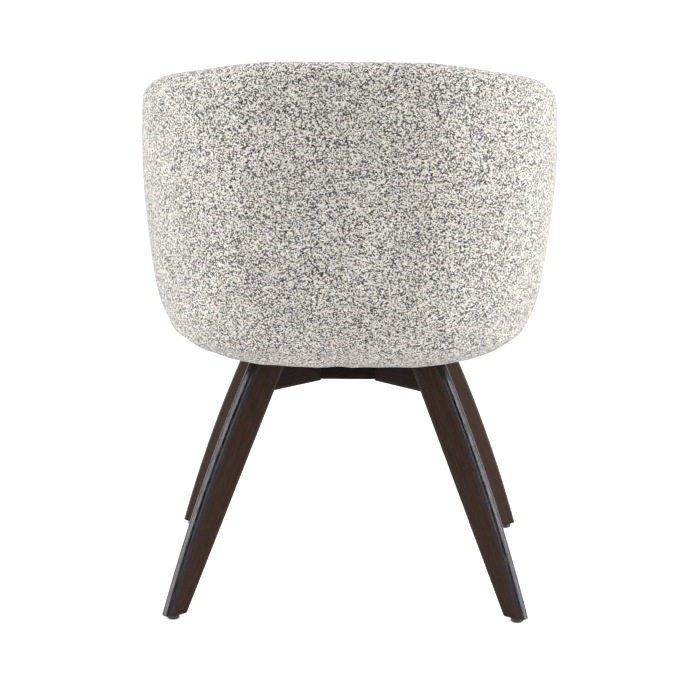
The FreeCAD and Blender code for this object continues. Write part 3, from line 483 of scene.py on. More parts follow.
@dataclass(frozen=True)
class StainedWood(Finish):
    """Espresso stained wood under a satin lacquer, with a painted dark reflection along the arrises and
    painted shade on the arms and hub.
    """

    name: str = "espresso_wood"
    early: tuple[float, ...] = (0.038, 0.019, 0.012, 1)
    late: tuple[float, ...] = (0.026, 0.012, 0.008, 1)
    # Painted dark reflection: the near-black colour of the rounded edges, where they would mirror a dark
    # room
    arris: tuple[float, ...] = (0.004, 0.003, 0.003, 1)
    # Painted shade: the near-black colour that the arms and the block take, as they lie in shade under the
    # seat
    painted_shade_colour: tuple[float, ...] = (0.006, 0.0035, 0.0025, 1)
    worn: tuple[float, ...] = (0.085, 0.050, 0.034, 1)
    pore_shade: float = 0.55
    wear: float = 0.45
    smears: Patches = Patches(24.0)
    roughness: tuple[float, float] = (0.16, 0.28)
    gloss: tuple[float, float] = (0.06, 0.40)
    # Gloss that is kept where the shade is painted
    painted_shade_gloss: float = 0.3
    tint: tuple[float, ...] = (0.93, 0.90, 1.0, 1)
    depth: float = 0.12 * MM
    dust: Dust = Dust(0.03, (0.20, 0.19, 0.18, 1))

    def wire(self, surface: Surface, wiring: Wiring, groups: SharedGroups) -> None:
        """Wire the wood: grain along the piece's own UV, a painted dark reflection along the arrises,
        painted shade on the arms and hub, rubbed spots and dust.
        """
        grain = surface.place(groups.grain, Vector=surface.coordinates.outputs["UV"],
                              Early_Wood=self.early, Late_Wood=self.late, Pore_Shade=self.pore_shade)
        edge = wiring.add("ShaderNodeAttribute", attribute_name="arris")
        stain = wiring.add("ShaderNodeAttribute", attribute_name="stain")
        # Painted shade on the arms and the block under the seat
        tone = wiring.mix(stain.outputs["Fac"], grain.outputs["Color"], self.painted_shade_colour)
        # Painted dark reflection along the arrises, strongest on the rounded edges
        tone = wiring.mix(edge.outputs["Fac"], tone, self.arris)
        rub = wiring.add("ShaderNodeAttribute", attribute_name="corner")
        wear = surface.place(groups.wear, Vector=surface.spot, Edge=rub.outputs["Fac"], Amount=self.wear)
        tone = wiring.mix(wear.outputs["Mask"], tone, self.worn)
        self.dust.lay(surface, groups, tone)
        smear = self.smears.wire(surface, *self.roughness)
        surface.give("Roughness", wiring.math("ADD", smear, grain.outputs["Roughness Shift"]))
        gloss = wiring.spread(edge.outputs["Fac"], 0.0, 1.0, *self.gloss)
        # Less gloss where the shade is painted, so that the arms and the block stay dark
        matt = wiring.spread(stain.outputs["Fac"], 0.0, 1.0, 1.0, self.painted_shade_gloss)
        surface.give("Specular IOR Level", wiring.math("MULTIPLY", gloss, matt))
        surface.set(Specular_Tint=self.tint)
        surface.bump(grain.outputs["Height"], self.depth, 0.9)


@dataclass(frozen=True)
class BareWood(Finish):
    """Unfinished wood of hidden pieces: beech dowels, or plywood with its plies."""

    early: tuple[float, ...]
    late: tuple[float, ...]
    ply: float = 0.0
    glue_line: tuple[float, float] = (0.42, 0.58)
    glue_shade: float = 0.5
    pore_shade: float = 0.25
    roughness: float = 0.62
    depth: float = 0.08 * MM

    def wire(self, surface: Surface, wiring: Wiring, groups: SharedGroups) -> None:
        """Wire the wood, with bands of plies over the height where it is plywood."""
        spot = surface.spot
        grain = surface.place(groups.grain, Vector=spot, Early_Wood=self.early, Late_Wood=self.late,
                              Pore_Shade=self.pore_shade)
        tone = grain.outputs["Color"]
        if self.ply:
            parts = wiring.add("ShaderNodeSeparateXYZ")
            wiring.feed(parts.inputs[0], spot)
            band = wiring.math("PINGPONG", wiring.math("DIVIDE", parts.outputs[2], self.ply), 1.0)
            glue = wiring.spread(band, *self.glue_line, 0.0, self.glue_shade)
            tone = wiring.mix(glue, tone, self.late)
        surface.give("Base Color", tone)
        surface.give("Roughness", wiring.math("ADD", grain.outputs["Roughness Shift"], self.roughness))
        surface.bump(grain.outputs["Height"], self.depth, 0.5)


@dataclass(frozen=True)
class CoatedMetal(Finish):
    """Metal, bare or plated or powder coated, with fine texture, smears and dust."""

    colour: tuple[float, ...]
    metallic: float
    roughness: float
    texture_size: float
    depth: float
    smears: Patches = Patches(30.0)
    smear_shade: float = 0.8
    smear_roughness: float = 0.12
    dust: Dust = Dust(0.12, (0.35, 0.34, 0.32, 1))

    def wire(self, surface: Surface, wiring: Wiring, groups: SharedGroups) -> None:
        """Wire the metal."""
        broad = self.smears.wire(surface)
        darker = tuple(self.smear_shade * channel for channel in self.colour[:3]) + (1,)
        tone = wiring.mix(broad, darker, self.colour)
        self.dust.lay(surface, groups, tone)
        duller = self.roughness + self.smear_roughness
        surface.give("Roughness", wiring.spread(broad, 0.0, 1.0, self.roughness, duller))
        surface.set(Metallic=self.metallic)
        surface.bump(wiring.noise(surface.spot, 1 / self.texture_size, 2.0), self.depth, 0.6)


@dataclass(frozen=True)
class MouldedPlastic(Finish):
    """Matt moulded plastic with a fine spark-eroded skin."""

    colour: tuple[float, ...]
    roughness: float = 0.5
    mottle: Patches = Patches(60.0, 2.0)
    skin_scale: float = 2200.0
    depth: float = 0.06 * MM
    dust: Dust = Dust(0.2, (0.3, 0.29, 0.27, 1))

    def wire(self, surface: Surface, wiring: Wiring, groups: SharedGroups) -> None:
        """Wire the plastic."""
        broad = self.mottle.wire(surface)
        paler = tuple(min(1.0, 1.15 * channel + 0.004) for channel in self.colour[:3]) + (1,)
        tone = wiring.mix(broad, self.colour, paler)
        self.dust.lay(surface, groups, tone)
        surface.give("Roughness", wiring.spread(broad, 0.0, 1.0, self.roughness, self.roughness + 0.1))
        surface.bump(wiring.noise(surface.spot, self.skin_scale, 1.0), self.depth, 0.6)


@dataclass(frozen=True)
class SpunLining(Finish):
    """Thin black spun cloth of the dust cover, with its bonded dot pattern."""

    name: str = "spun_lining"
    colour: tuple[float, ...] = (0.018, 0.018, 0.019, 1)
    pressed: tuple[float, ...] = (0.008, 0.008, 0.009, 1)
    dot_pitch: float = 1.6 * MM
    dot_size: tuple[float, float] = (0.18, 0.4)
    dot_scatter: float = 0.12
    fibre_scale: float = 1400.0
    fibre_height: float = 0.4
    roughness: tuple[float, float] = (0.6, 0.9)
    specular: float = 0.25
    depth: float = 0.15 * MM
    dust: Dust = Dust(0.25, (0.25, 0.24, 0.23, 1))

    def wire(self, surface: Surface, wiring: Wiring, groups: SharedGroups) -> None:
        """Wire the lining: sunken dots on a lattice, fibres between them and dust."""
        spot = surface.spot
        dots = wiring.add("ShaderNodeTexVoronoi", feature="F1")
        wiring.feed(dots.inputs["Vector"], spot)
        dots.inputs["Scale"].default_value = 1 / self.dot_pitch
        dots.inputs["Randomness"].default_value = self.dot_scatter
        raised = wiring.spread(dots.outputs["Distance"], *self.dot_size)
        fibres = wiring.noise(spot, self.fibre_scale, 2.0)
        tone = wiring.mix(raised, self.pressed, self.colour)
        self.dust.lay(surface, groups, tone)
        surface.give("Roughness", wiring.spread(raised, 0.0, 1.0, *self.roughness))
        surface.set(Specular_IOR_Level=self.specular)
        surface.bump(wiring.math("MULTIPLY_ADD", fibres, self.fibre_height, raised), self.depth, 0.8)


def build_finishes(groups: SharedGroups) -> dict[Slot, Any]:
    """Make every finish of the chair.

    Args:
        groups: the shared node groups.

    Returns:
        One material for each slot.
    """
    kinds = {
        Slot.BOUCLE: FleckWeave(),
        Slot.DARK_WOOD: StainedWood(),
        Slot.BEECH: BareWood("raw_beech", (0.58, 0.40, 0.24, 1), (0.47, 0.31, 0.18, 1)),
        Slot.PLYWOOD: BareWood("raw_plywood", (0.62, 0.47, 0.30, 1), (0.44, 0.31, 0.19, 1),
                               1.5 * MM),
        Slot.BLACK_STEEL: CoatedMetal("black_powder_coat", (0.022, 0.022, 0.024, 1), 0.0, 0.42,
                                      0.7 * MM, 0.05 * MM),
        Slot.ZINC: CoatedMetal("zinc_plated_steel", (0.56, 0.57, 0.59, 1), 1.0, 0.30,
                               0.9 * MM, 0.02 * MM),
        Slot.BRIGHT_STEEL: CoatedMetal("ground_steel", (0.66, 0.66, 0.67, 1), 1.0, 0.16,
                                       0.4 * MM, 0.008 * MM),
        Slot.NYLON: MouldedPlastic("dark_nylon", (0.022, 0.020, 0.019, 1)),
        Slot.CAGE: MouldedPlastic("natural_cage_plastic", (0.70, 0.68, 0.62, 1), 0.42),
        Slot.LINING: SpunLining(),
    }
    return {slot: kind.build(groups) for slot, kind in kinds.items()}


# Meshes from arrays

def add_object(name: str, data: Any) -> Any:
    """Put an object with its data into the scene."""
    thing = bpy.data.objects.new(name, data)
    bpy.context.scene.collection.objects.link(thing)
    return thing


def make_piece(name: str, points: np.ndarray, faces: Sequence[Sequence[int]], slot: Slot, body: Body,
               finishes: dict[Slot, Any]) -> Any:
    """Put an array of points and faces into a mesh, dress it and let it ride on its body.

    Args:
        name: the piece's name.
        points: (n, 3) array in metres.
        faces: vertex numbers of each face.
        slot: the record's slot that it takes its finish from.
        body: the rigid body that it rides on.
        finishes: the materials by slot.

    Returns:
        The new object.
    """
    mesh = bpy.data.meshes.new(name)
    mesh.from_pydata(points.reshape(-1, 3).tolist(), [], [tuple(face) for face in faces])
    mesh.update()
    thing = add_object(name, mesh)
    dress(thing, finishes[slot])
    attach(thing, body.value)
    log.info("%s: %d points, %d faces", name, len(mesh.vertices), len(mesh.polygons))
    return thing


def dress(thing: Any, material: Any) -> None:
    """Give an object one material."""
    thing.data.materials.clear()
    thing.data.materials.append(material)


def set_smooth(thing: Any, degrees: float = 35.0) -> None:
    """Shade a piece smooth, with edges sharper than an angle kept crisp."""
    mesh = thing.data
    mesh.polygons.foreach_set("use_smooth", np.ones(len(mesh.polygons), bool))
    mesh.set_sharp_from_angle(angle=math.radians(degrees))


def add_attribute(mesh: Any, name: str, values: np.ndarray) -> None:
    """Keep one number for each vertex under a name."""
    attribute = mesh.attributes.new(name, "FLOAT", "POINT")
    attribute.data.foreach_set("value", values.astype(np.float32).ravel())


def add_uv(mesh: Any, uv: np.ndarray) -> None:
    """Give each face corner the UV place of its vertex, in metres over the surface."""
    corners = np.zeros(len(mesh.loops), np.int32)
    mesh.loops.foreach_get("vertex_index", corners)
    layer = mesh.uv_layers.new(name="surface")
    layer.data.foreach_set("uv", uv.reshape(-1, 2)[corners].astype(np.float32).ravel())


def stack_faces(levels: int, count: int) -> np.ndarray:
    """Number the quads between closed rings that lie over each other.

    Rings run anticlockwise seen from above and go upward, so that the faces point outwards.

    Args:
        levels: how many rings.
        count: how many points in a ring.

    Returns:
        (n, 4) array of vertex numbers.
    """
    ring = np.arange(count)
    after = (ring + 1) % count
    base = np.arange(levels - 1)[:, None] * count
    quads = np.stack([base + ring, base + after, base + count + after, base + count + ring], axis=-1)
    return quads.reshape(-1, 4)


def fan_faces(ring_start: int, count: int, middle: int, upward: bool) -> np.ndarray:
    """Number the triangles from a ring to its middle point."""
    ring = ring_start + np.arange(count)
    after = ring_start + (np.arange(count) + 1) % count
    hub = np.full(count, middle)
    order = [ring, after, hub] if upward else [after, ring, hub]
    return np.stack(order, axis=-1)


def closed_stack(rings: Sequence[np.ndarray], hub: Sequence[float], low: float,
                 high: float) -> tuple[np.ndarray, list[list[int]]]:
    """Join closed rings that lie over each other and close both ends with fans.

    Args:
        rings: (count, 3) arrays from the bottom up.
        hub: x and y of both middle points.
        low: the lower one's level.
        high: the upper one's level.

    Returns:
        The points and the faces.
    """
    count, last = len(rings[0]), len(rings) * len(rings[0])
    faces = [*stack_faces(len(rings), count).tolist(), *fan_faces(0, count, last, False).tolist(),
             *fan_faces(last - count, count, last + 1, True).tolist()]
    return np.concatenate([*rings, np.array([[*hub, low], [*hub, high]])]), faces


def turn_about_axis(points: np.ndarray, degrees: float) -> np.ndarray:
    """Turn points about the swivel axis.

    Args:
        points: array whose last axis is (x, y, z).
        degrees: the angle.

    Returns:
        The turned array.
    """
    angle = math.radians(degrees)
    matrix = np.array([[math.cos(angle), math.sin(angle), 0], [-math.sin(angle), math.cos(angle), 0],
                       [0, 0, 1]])
    return points @ matrix


def evaluated_copy(thing: Any) -> Any:
    """Bake an object's modifiers into a fresh mesh."""
    graph = bpy.context.evaluated_depsgraph_get()
    return bpy.data.meshes.new_from_object(thing.evaluated_get(graph))


def swap_mesh(thing: Any, mesh: Any) -> None:
    """Give an object another mesh, without modifiers, and keep its finish."""
    finish = thing.data.materials[0]
    thing.modifiers.clear()
    old = thing.data
    name = old.name
    thing.data = mesh
    bpy.data.meshes.remove(old)
    mesh.name = name
    dress(thing, finish)


def read_vectors(items: Any, name: str) -> np.ndarray:
    """Read one vector of each item of a mesh as an (n, 3) array."""
    flat = np.zeros(len(items) * 3, np.float32)
    items.foreach_get(name, flat)
    return flat.reshape(-1, 3).astype(float)


def mesh_points(mesh: Any) -> np.ndarray:
    """Read a mesh's points as an (n, 3) array."""
    return read_vectors(mesh.vertices, "co")


def mesh_normals(mesh: Any) -> np.ndarray:
    """Read a mesh's vertex normals as an (n, 3) array."""
    return read_vectors(mesh.vertex_normals, "vector")


def write_points(mesh: Any, points: np.ndarray) -> None:
    """Write an (n, 3) array back into a mesh."""
    mesh.vertices.foreach_set("co", points.astype(np.float32).ravel())
    mesh.update()


def unit_vectors(angle: np.ndarray) -> np.ndarray:
    """Give the plan directions at angles from +X, with (x, y) on the last axis."""
    return np.stack([np.cos(angle), np.sin(angle)], -1)


def added_up(steps: np.ndarray) -> np.ndarray:
    """Add steps up one by one, starting from zero."""
    return np.concatenate([[0.0], np.cumsum(steps)])


# Padding

@dataclass(frozen=True)
class Padding:
    """How a stuffed piece is blown up from its drawn form."""

    voxel: float
    smoothing: int
    pressure: float
    reach: float
    frames: int = 20
    cloth_mass: float = 0.35
    stiffness: float = 18.0
    bending: float = 2.0

    def swell(self, thing: Any) -> None:
        """Remesh the drawn form evenly, blow it up as cloth and finish it with one subdivision.

        Each point p goes to p + d min(1, r / |d|), where d is how far the cloth moved it and r the
        greatest reach.

        Args:
            thing: the closed piece, which may be several shells that cross.
        """
        remesh = thing.modifiers.new("even_mesh", "REMESH")
        remesh.mode = "VOXEL"
        remesh.voxel_size = self.voxel
        relax = thing.modifiers.new("relax", "SMOOTH")
        relax.factor = 0.5
        relax.iterations = self.smoothing
        swap_mesh(thing, evaluated_copy(thing))
        self.blow(thing)
        finer = thing.modifiers.new("finer", "SUBSURF")
        finer.levels = finer.render_levels = 1
        swap_mesh(thing, evaluated_copy(thing))

    def blow(self, thing: Any) -> None:
        """Run the cloth simulation and keep its capped result."""
        start = mesh_points(thing.data)
        cloth = thing.modifiers.new("cover", "CLOTH")
        settings = cloth.settings
        settings.quality = 5
        settings.mass = self.cloth_mass
        settings.tension_stiffness = settings.compression_stiffness = self.stiffness
        settings.bending_stiffness = self.bending
        settings.use_pressure = True
        settings.uniform_pressure_force = self.pressure
        settings.effector_weights.gravity = 0
        cloth.point_cache.frame_start, cloth.point_cache.frame_end = 1, self.frames
        scene = bpy.context.scene
        for number in range(1, self.frames + 1):
            scene.frame_set(number)
        moved = mesh_points(evaluated_copy(thing)) - start
        length = np.linalg.norm(moved, axis=1, keepdims=True)
        moved *= np.minimum(1.0, self.reach / np.maximum(length, 1e-9))
        thing.modifiers.clear()
        write_points(thing.data, start + moved)
        scene.frame_set(1)


def soft_waves(points: np.ndarray, wavelength: float, seed: int, count: int = 10) -> np.ndarray:
    """Work out gentle swells over points: a sum of plane waves in random directions.

    Args:
        points: (n, 3) array.
        wavelength: the middle wavelength in metres.
        seed: the seed of the directions and phases.
        count: how many waves.

    Returns:
        (n,) array of values of about -1 to 1.
    """
    chance = np.random.default_rng(seed)
    direction = chance.normal(size=(count, 3))
    direction /= np.linalg.norm(direction, axis=1, keepdims=True)
    pitch = TURN / (wavelength * chance.uniform(0.7, 1.4, count))
    phase = chance.uniform(0, TURN, count)
    return np.sin(points @ (direction * pitch[:, None]).T + phase).sum(1) / math.sqrt(2 * count)


@dataclass(frozen=True)
class Swell:
    """Gentle unevenness of a cover: its depth and wavelength in metres, and the seed of its waves."""

    depth: float
    wavelength: float
    seed: int

    def over(self, points: np.ndarray) -> np.ndarray:
        """Work out how far each of some points moves."""
        return self.depth * soft_waves(points, self.wavelength, self.seed)


# The seat's plan

@dataclass(frozen=True)
class SeatPlan:
    """Plan outlines of the tub: each quarter is a side, a corner and an end arc that meet in line."""

    offset: float = -17.4 * MM
    front_share: float = 1.08
    rear_share: float = 0.9745
    front_corner: float = 0.56
    rear_corner: float = 0.70
    side_angle: float = math.radians(6)
    end_angle: float = math.radians(84)

    def quarter(self, width: float, depth: float, corner: float) -> list[tuple[float, ...]]:
        """Work out the three arcs of a quarter from its half width, half depth and corner share.

        The side and end radii solve two linear equations, so that all three arcs share their
        normals where they meet.

        Returns:
            Centre x, centre y, radius, first and last normal angle of each arc.
        """
        first, last, bend = self.side_angle, self.end_angle, corner * width
        matrix = np.array([[math.cos(first) - 1, -math.cos(last)], [math.sin(first), 1 - math.sin(last)]])
        reach = np.array([-width + bend * (math.cos(first) - math.cos(last)),
                          depth + bend * (math.sin(first) - math.sin(last))])
        side, end = np.linalg.solve(matrix, reach)
        centre_x = width - side + (side - bend) * math.cos(first)
        centre_y = (side - bend) * math.sin(first)
        return [(width - side, 0.0, side, 0.0, first), (centre_x, centre_y, bend, first, last),
                (0.0, depth - end, end, last, math.pi / 2)]

    def arcs(self, width: float) -> np.ndarray:
        """List the twelve arcs of an outline anticlockwise from +X as rows (x, y, radius, first, last)."""
        rows = []
        for number in range(4):
            front = number in (0, 1)
            share, corner = ((self.front_share, self.front_corner) if front
                             else (self.rear_share, self.rear_corner))
            flip_x = -1 if number in (1, 2) else 1
            flip_y = 1 if front else -1
            pieces = self.quarter(width, width * share, corner)
            mirrored = flip_x * flip_y < 0
            for x, y, radius, first, last in (reversed(pieces) if mirrored else pieces):
                if mirrored:
                    first, last = math.pi / 2 - last, math.pi / 2 - first
                start = number * math.pi / 2
                rows.append((flip_x * x, self.offset + flip_y * y, radius, start + first, start + last))
        return np.array(rows)

    def stations(self, width: float, inset: float, first: float, last: float,
                 count: int) -> tuple[np.ndarray, np.ndarray, np.ndarray]:
        """Set points out evenly along part of an outline.

        The length along the curve is the sum of radius times angle, and each point's normal angle is
        read back from that length.

        Args:
            width: the outline's half width.
            inset: how far inside it the even spacing holds.
            first: the first normal angle in radians.
            last: the last normal angle.
            count: how many points.

        Returns:
            Arc centres (count, 2), outline radii (count,) and normal angles (count,).
        """
        once = self.arcs(width)
        turns = [once + np.array([0, 0, 0, TURN * turn, TURN * turn]) for turn in (-1, 0, 1)]
        rows = np.concatenate(turns)
        low = np.clip(rows[:, 3], first, last)
        high = np.clip(rows[:, 4], first, last)
        kept = high - low > 1e-9
        rows, low, high = rows[kept], low[kept], high[kept]
        ends = added_up((rows[:, 2] - inset) * (high - low))
        place = np.linspace(0, ends[-1], count)
        index = np.clip(np.searchsorted(ends, place, side="right") - 1, 0, len(rows) - 1)
        angle = low[index] + (place - ends[index]) / (rows[index, 2] - inset)
        return rows[index, :2], rows[index, 2], angle

    def ring(self, width: float, count: int, inset: float = 0.0) -> np.ndarray:
        """Set a whole outline out as (count, 2) points, evenly spaced."""
        centre, radius, angle = self.stations(width, inset, 0.0, TURN, count + 1)
        points = centre + (radius - inset)[:, None] * unit_vectors(angle)
        return points[:-1]


PLAN = SeatPlan()


def at_level(ring: np.ndarray, level: float) -> np.ndarray:
    """Lift a plan ring to a level."""
    return np.column_stack([ring, np.full(len(ring), level)])


@dataclass
class TubShell:
    """The upholstered tub: a round-bottomed bowl and a wall that rises in a C to a rolled rim."""

    finishes: dict[Slot, Any]
    half_width: float = 292.6 * MM
    bottom: float = 355.0 * MM
    flat_half_width: float = 156.0 * MM
    round_height: float = 114.0 * MM
    round_power: float = 2.9
    taper: float = 34.0 * MM
    taper_power: float = 1.45
    straight_from: float = 620.0 * MM
    platform: float = 394.5 * MM
    thickness: float = 61.0 * MM
    foot_inside: float = 214.5 * MM
    arm_end: float = math.radians(40)
    rim_height: float = 789.2 * MM
    rim_at: float = -255.0 * MM
    rim_slope: float = 0.245
    corner_drop: float = 7.5 * MM
    drop_from: float = 85.0 * MM
    drop_over: float = 145.0 * MM
    drop_behind: float = 120.0 * MM
    rim_radius: float = 29.5 * MM
    opening_half_width: float = 146.0 * MM
    board_bottom: float = 356.5 * MM
    along: int = 220
    cap: int = 14
    sink: float = 8.0 * MM
    slant_from: float = 0.12
    side_rings: int = 22
    upper_rings: int = 14
    roll_rings: int = 9
    bowl_rings: int = 10
    bowl_points: int = 260
    bowl_spread: float = 1.8
    recess_points: int = 160
    recess_below: float = 20.0 * MM
    recess_above: float = 4.0 * MM
    hem_height: float = 34.0 * MM
    hem_fade: float = 30.0 * MM
    foot_fade: float = 4.0 * MM
    crease: float = 50.0
    broad_swell: Swell = Swell(0.5 * MM, 160 * MM, 11)
    hem_waves: Swell = Swell(0.8 * MM, 45 * MM, 12)
    padding: Padding = Padding(voxel=7.0 * MM, smoothing=4, pressure=4.0, reach=2.2 * MM)

    def width_at(self, level: np.ndarray) -> np.ndarray:
        """Give the half width at a level.

        The side draws in below the straight line by taper * drop ^ power, and the lowest stretch
        rounds under along a superellipse to the flat bottom.
        """
        level = np.asarray(level, float)
        drop = np.clip((self.straight_from - level) / (self.straight_from - self.bottom), 0, 1)
        side = self.half_width - self.taper * drop ** self.taper_power
        depth = np.clip((self.bottom + self.round_height - level) / self.round_height, 0, 1)
        rounding = (1 - depth ** self.round_power) ** (1 / self.round_power)
        return self.flat_half_width + (side - self.flat_half_width) * rounding

    def thickness_at(self, level: float) -> float:
        """Give the wall's thickness: its inside leans out in a straight line up to the rim."""
        share = min(1.0, (level - self.platform) / (self.straight_from - self.platform))
        inside = self.foot_inside + (self.half_width - self.thickness - self.foot_inside) * share
        return float(self.width_at(level)) - inside

    def wall_ring(self, width: float, thickness: float, inset: float = 0.0) -> np.ndarray:
        """Set out the closed C of the wall with half-round arm ends, as (n, 2) points.

        The outer and inner runs are the outline moved in by the inset and by the thickness less the
        inset. Each arm end is a half circle of half their distance.
        """
        centre, radius, angle = PLAN.stations(width, thickness / 2, -math.pi - self.arm_end,
                                              self.arm_end, self.along)
        normal = unit_vectors(angle)
        outer = centre + (radius - inset)[:, None] * normal
        inner = centre + (radius - thickness + inset)[:, None] * normal
        bend = thickness / 2 - inset
        step = np.arange(1, self.cap + 1) * math.pi / (self.cap + 1)

        def end(index: int, start: float) -> np.ndarray:
            """Round off one arm with a half circle of points."""
            hub = centre[index] + (radius[index] - thickness / 2) * normal[index]
            return hub + bend * unit_vectors(start + step)

        right = end(-1, self.arm_end)
        left = end(0, -self.arm_end)
        return np.concatenate([outer, right, inner[::-1], left])

    def wall(self) -> tuple[np.ndarray, np.ndarray]:
        """Stack the wall's rings from inside the bowl up to the crest of the rolled rim.

        Above the straight part the rings slant with the rim, and at turn t of the roll they are drawn
        in by R (1 - cos t) and lie R (1 - sin t) below the crest.

        Returns:
            The points and the faces.
        """
        first = self.platform + 1.5 * self.sink
        upright = [self.platform - self.sink, *np.linspace(first, self.straight_from, self.side_rings)]
        rings = []
        for level in upright:
            solid_level = max(level, self.platform)
            width = float(self.width_at(solid_level))
            rings.append(at_level(self.wall_ring(width, self.thickness_at(solid_level)), level))
        full = self.wall_ring(self.half_width, self.thickness)
        crest = self.crest(full)
        for share in np.linspace(self.slant_from, 1.0, self.upper_rings):
            level = self.straight_from + share * (crest - self.rim_radius - self.straight_from)
            rings.append(np.column_stack([full, level]))
        for turn in np.linspace(0, math.pi / 2, self.roll_rings)[1:]:
            ring = self.wall_ring(self.half_width, self.thickness, self.rim_radius * (1 - math.cos(turn)))
            level = self.crest(ring) - self.rim_radius * (1 - math.sin(turn))
            rings.append(np.column_stack([ring, level]))
        count = len(full)
        faces = [stack_faces(len(rings), count)]
        pair = (2 * self.along + self.cap - 1 - np.arange(count)) % count
        run = np.arange(-self.cap // 2, self.along + self.cap // 2 - 1) % count
        after = (run + 1) % count
        top = (len(rings) - 1) * count
        faces.append(np.stack([top + run, top + after, top + pair[after], top + pair[run]], -1))
        faces.append(np.stack([after, run, pair[run], pair[after]], -1))
        return np.concatenate(rings), np.concatenate(faces)

    def crest(self, ring: np.ndarray) -> np.ndarray:
        """Give the rim's height over plan points: a plane that falls towards the front.

        Behind the arms it also sinks by a smooth step of |x|, so that the rear corners hang lower
        than the middle of the back.
        """
        plane = self.rim_height - self.rim_slope * (ring[:, 1] - self.rim_at)
        share = np.clip((np.abs(ring[:, 0]) - self.drop_from) / self.drop_over, 0, 1)
        behind = np.clip(-ring[:, 1] / self.drop_behind, 0, 1)
        return plane - self.corner_drop * share ** 2 * (3 - 2 * share) * behind

    def bowl(self) -> tuple[np.ndarray, list[list[int]]]:
        """Stack the bowl's rings from the flat bottom to the platform and close both with fans.

        Returns:
            The points and the faces.
        """
        climb = np.linspace(0, 1, self.bowl_rings) ** self.bowl_spread
        levels = self.bottom + (self.platform - self.bottom) * climb
        rings = [at_level(PLAN.ring(float(self.width_at(level)), self.bowl_points), level)
                 for level in levels]
        return closed_stack(rings, (0, PLAN.offset), self.bottom, self.platform)

    def hollow(self, shell: Any) -> None:
        """Cut the shallow recess for the dust cover out of the flat bottom."""
        ring = PLAN.ring(self.opening_half_width, self.recess_points)
        low, high = self.bottom - self.recess_below, self.board_bottom + self.recess_above
        rings = [at_level(ring, low), at_level(ring, high)]
        points, faces = closed_stack(rings, (0, PLAN.offset), low, high)
        mesh = bpy.data.meshes.new("recess")
        mesh.from_pydata(points.tolist(), [], faces)
        tool = add_object("recess", mesh)
        cut = shell.modifiers.new("recess", "BOOLEAN")
        cut.operation, cut.solver, cut.object = "DIFFERENCE", "EXACT", tool
        swap_mesh(shell, evaluated_copy(shell))
        bpy.data.objects.remove(tool)
        bpy.data.meshes.remove(mesh)

    def settle(self, shell: Any) -> None:
        """Let the cloth lie a little uneven: broad swells all over and a wavy hem below.

        A point moves along its normal by the broad swell, and near the bottom by the hem's waves too.
        """
        points = mesh_points(shell.data)
        near_hem = np.clip((self.bottom + self.hem_height - points[:, 2]) / self.hem_fade, 0, 1)
        near_hem *= np.clip((points[:, 2] - self.bottom + self.foot_fade / 2) / self.foot_fade, 0, 1)
        swell = self.broad_swell.over(points) + near_hem * self.hem_waves.over(points)
        write_points(shell.data, points + swell[:, None] * mesh_normals(shell.data))

    def build(self) -> None:
        """Build the shell, blow it up, cut its recess and let it stand for the CAD solid."""
        wall_points, wall_faces = self.wall()
        bowl_points, bowl_faces = self.bowl()
        shift = len(wall_points)
        faces = [*wall_faces.tolist(), *[[index + shift for index in face] for face in bowl_faces]]
        shell = make_piece("tub_cover", np.concatenate([wall_points, bowl_points]), faces, Slot.BOUCLE,
                           Body.SEAT, self.finishes)
        self.padding.swell(shell)
        self.settle(shell)
        self.hollow(shell)
        set_smooth(shell, self.crease)
        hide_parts("tub_upholstery")


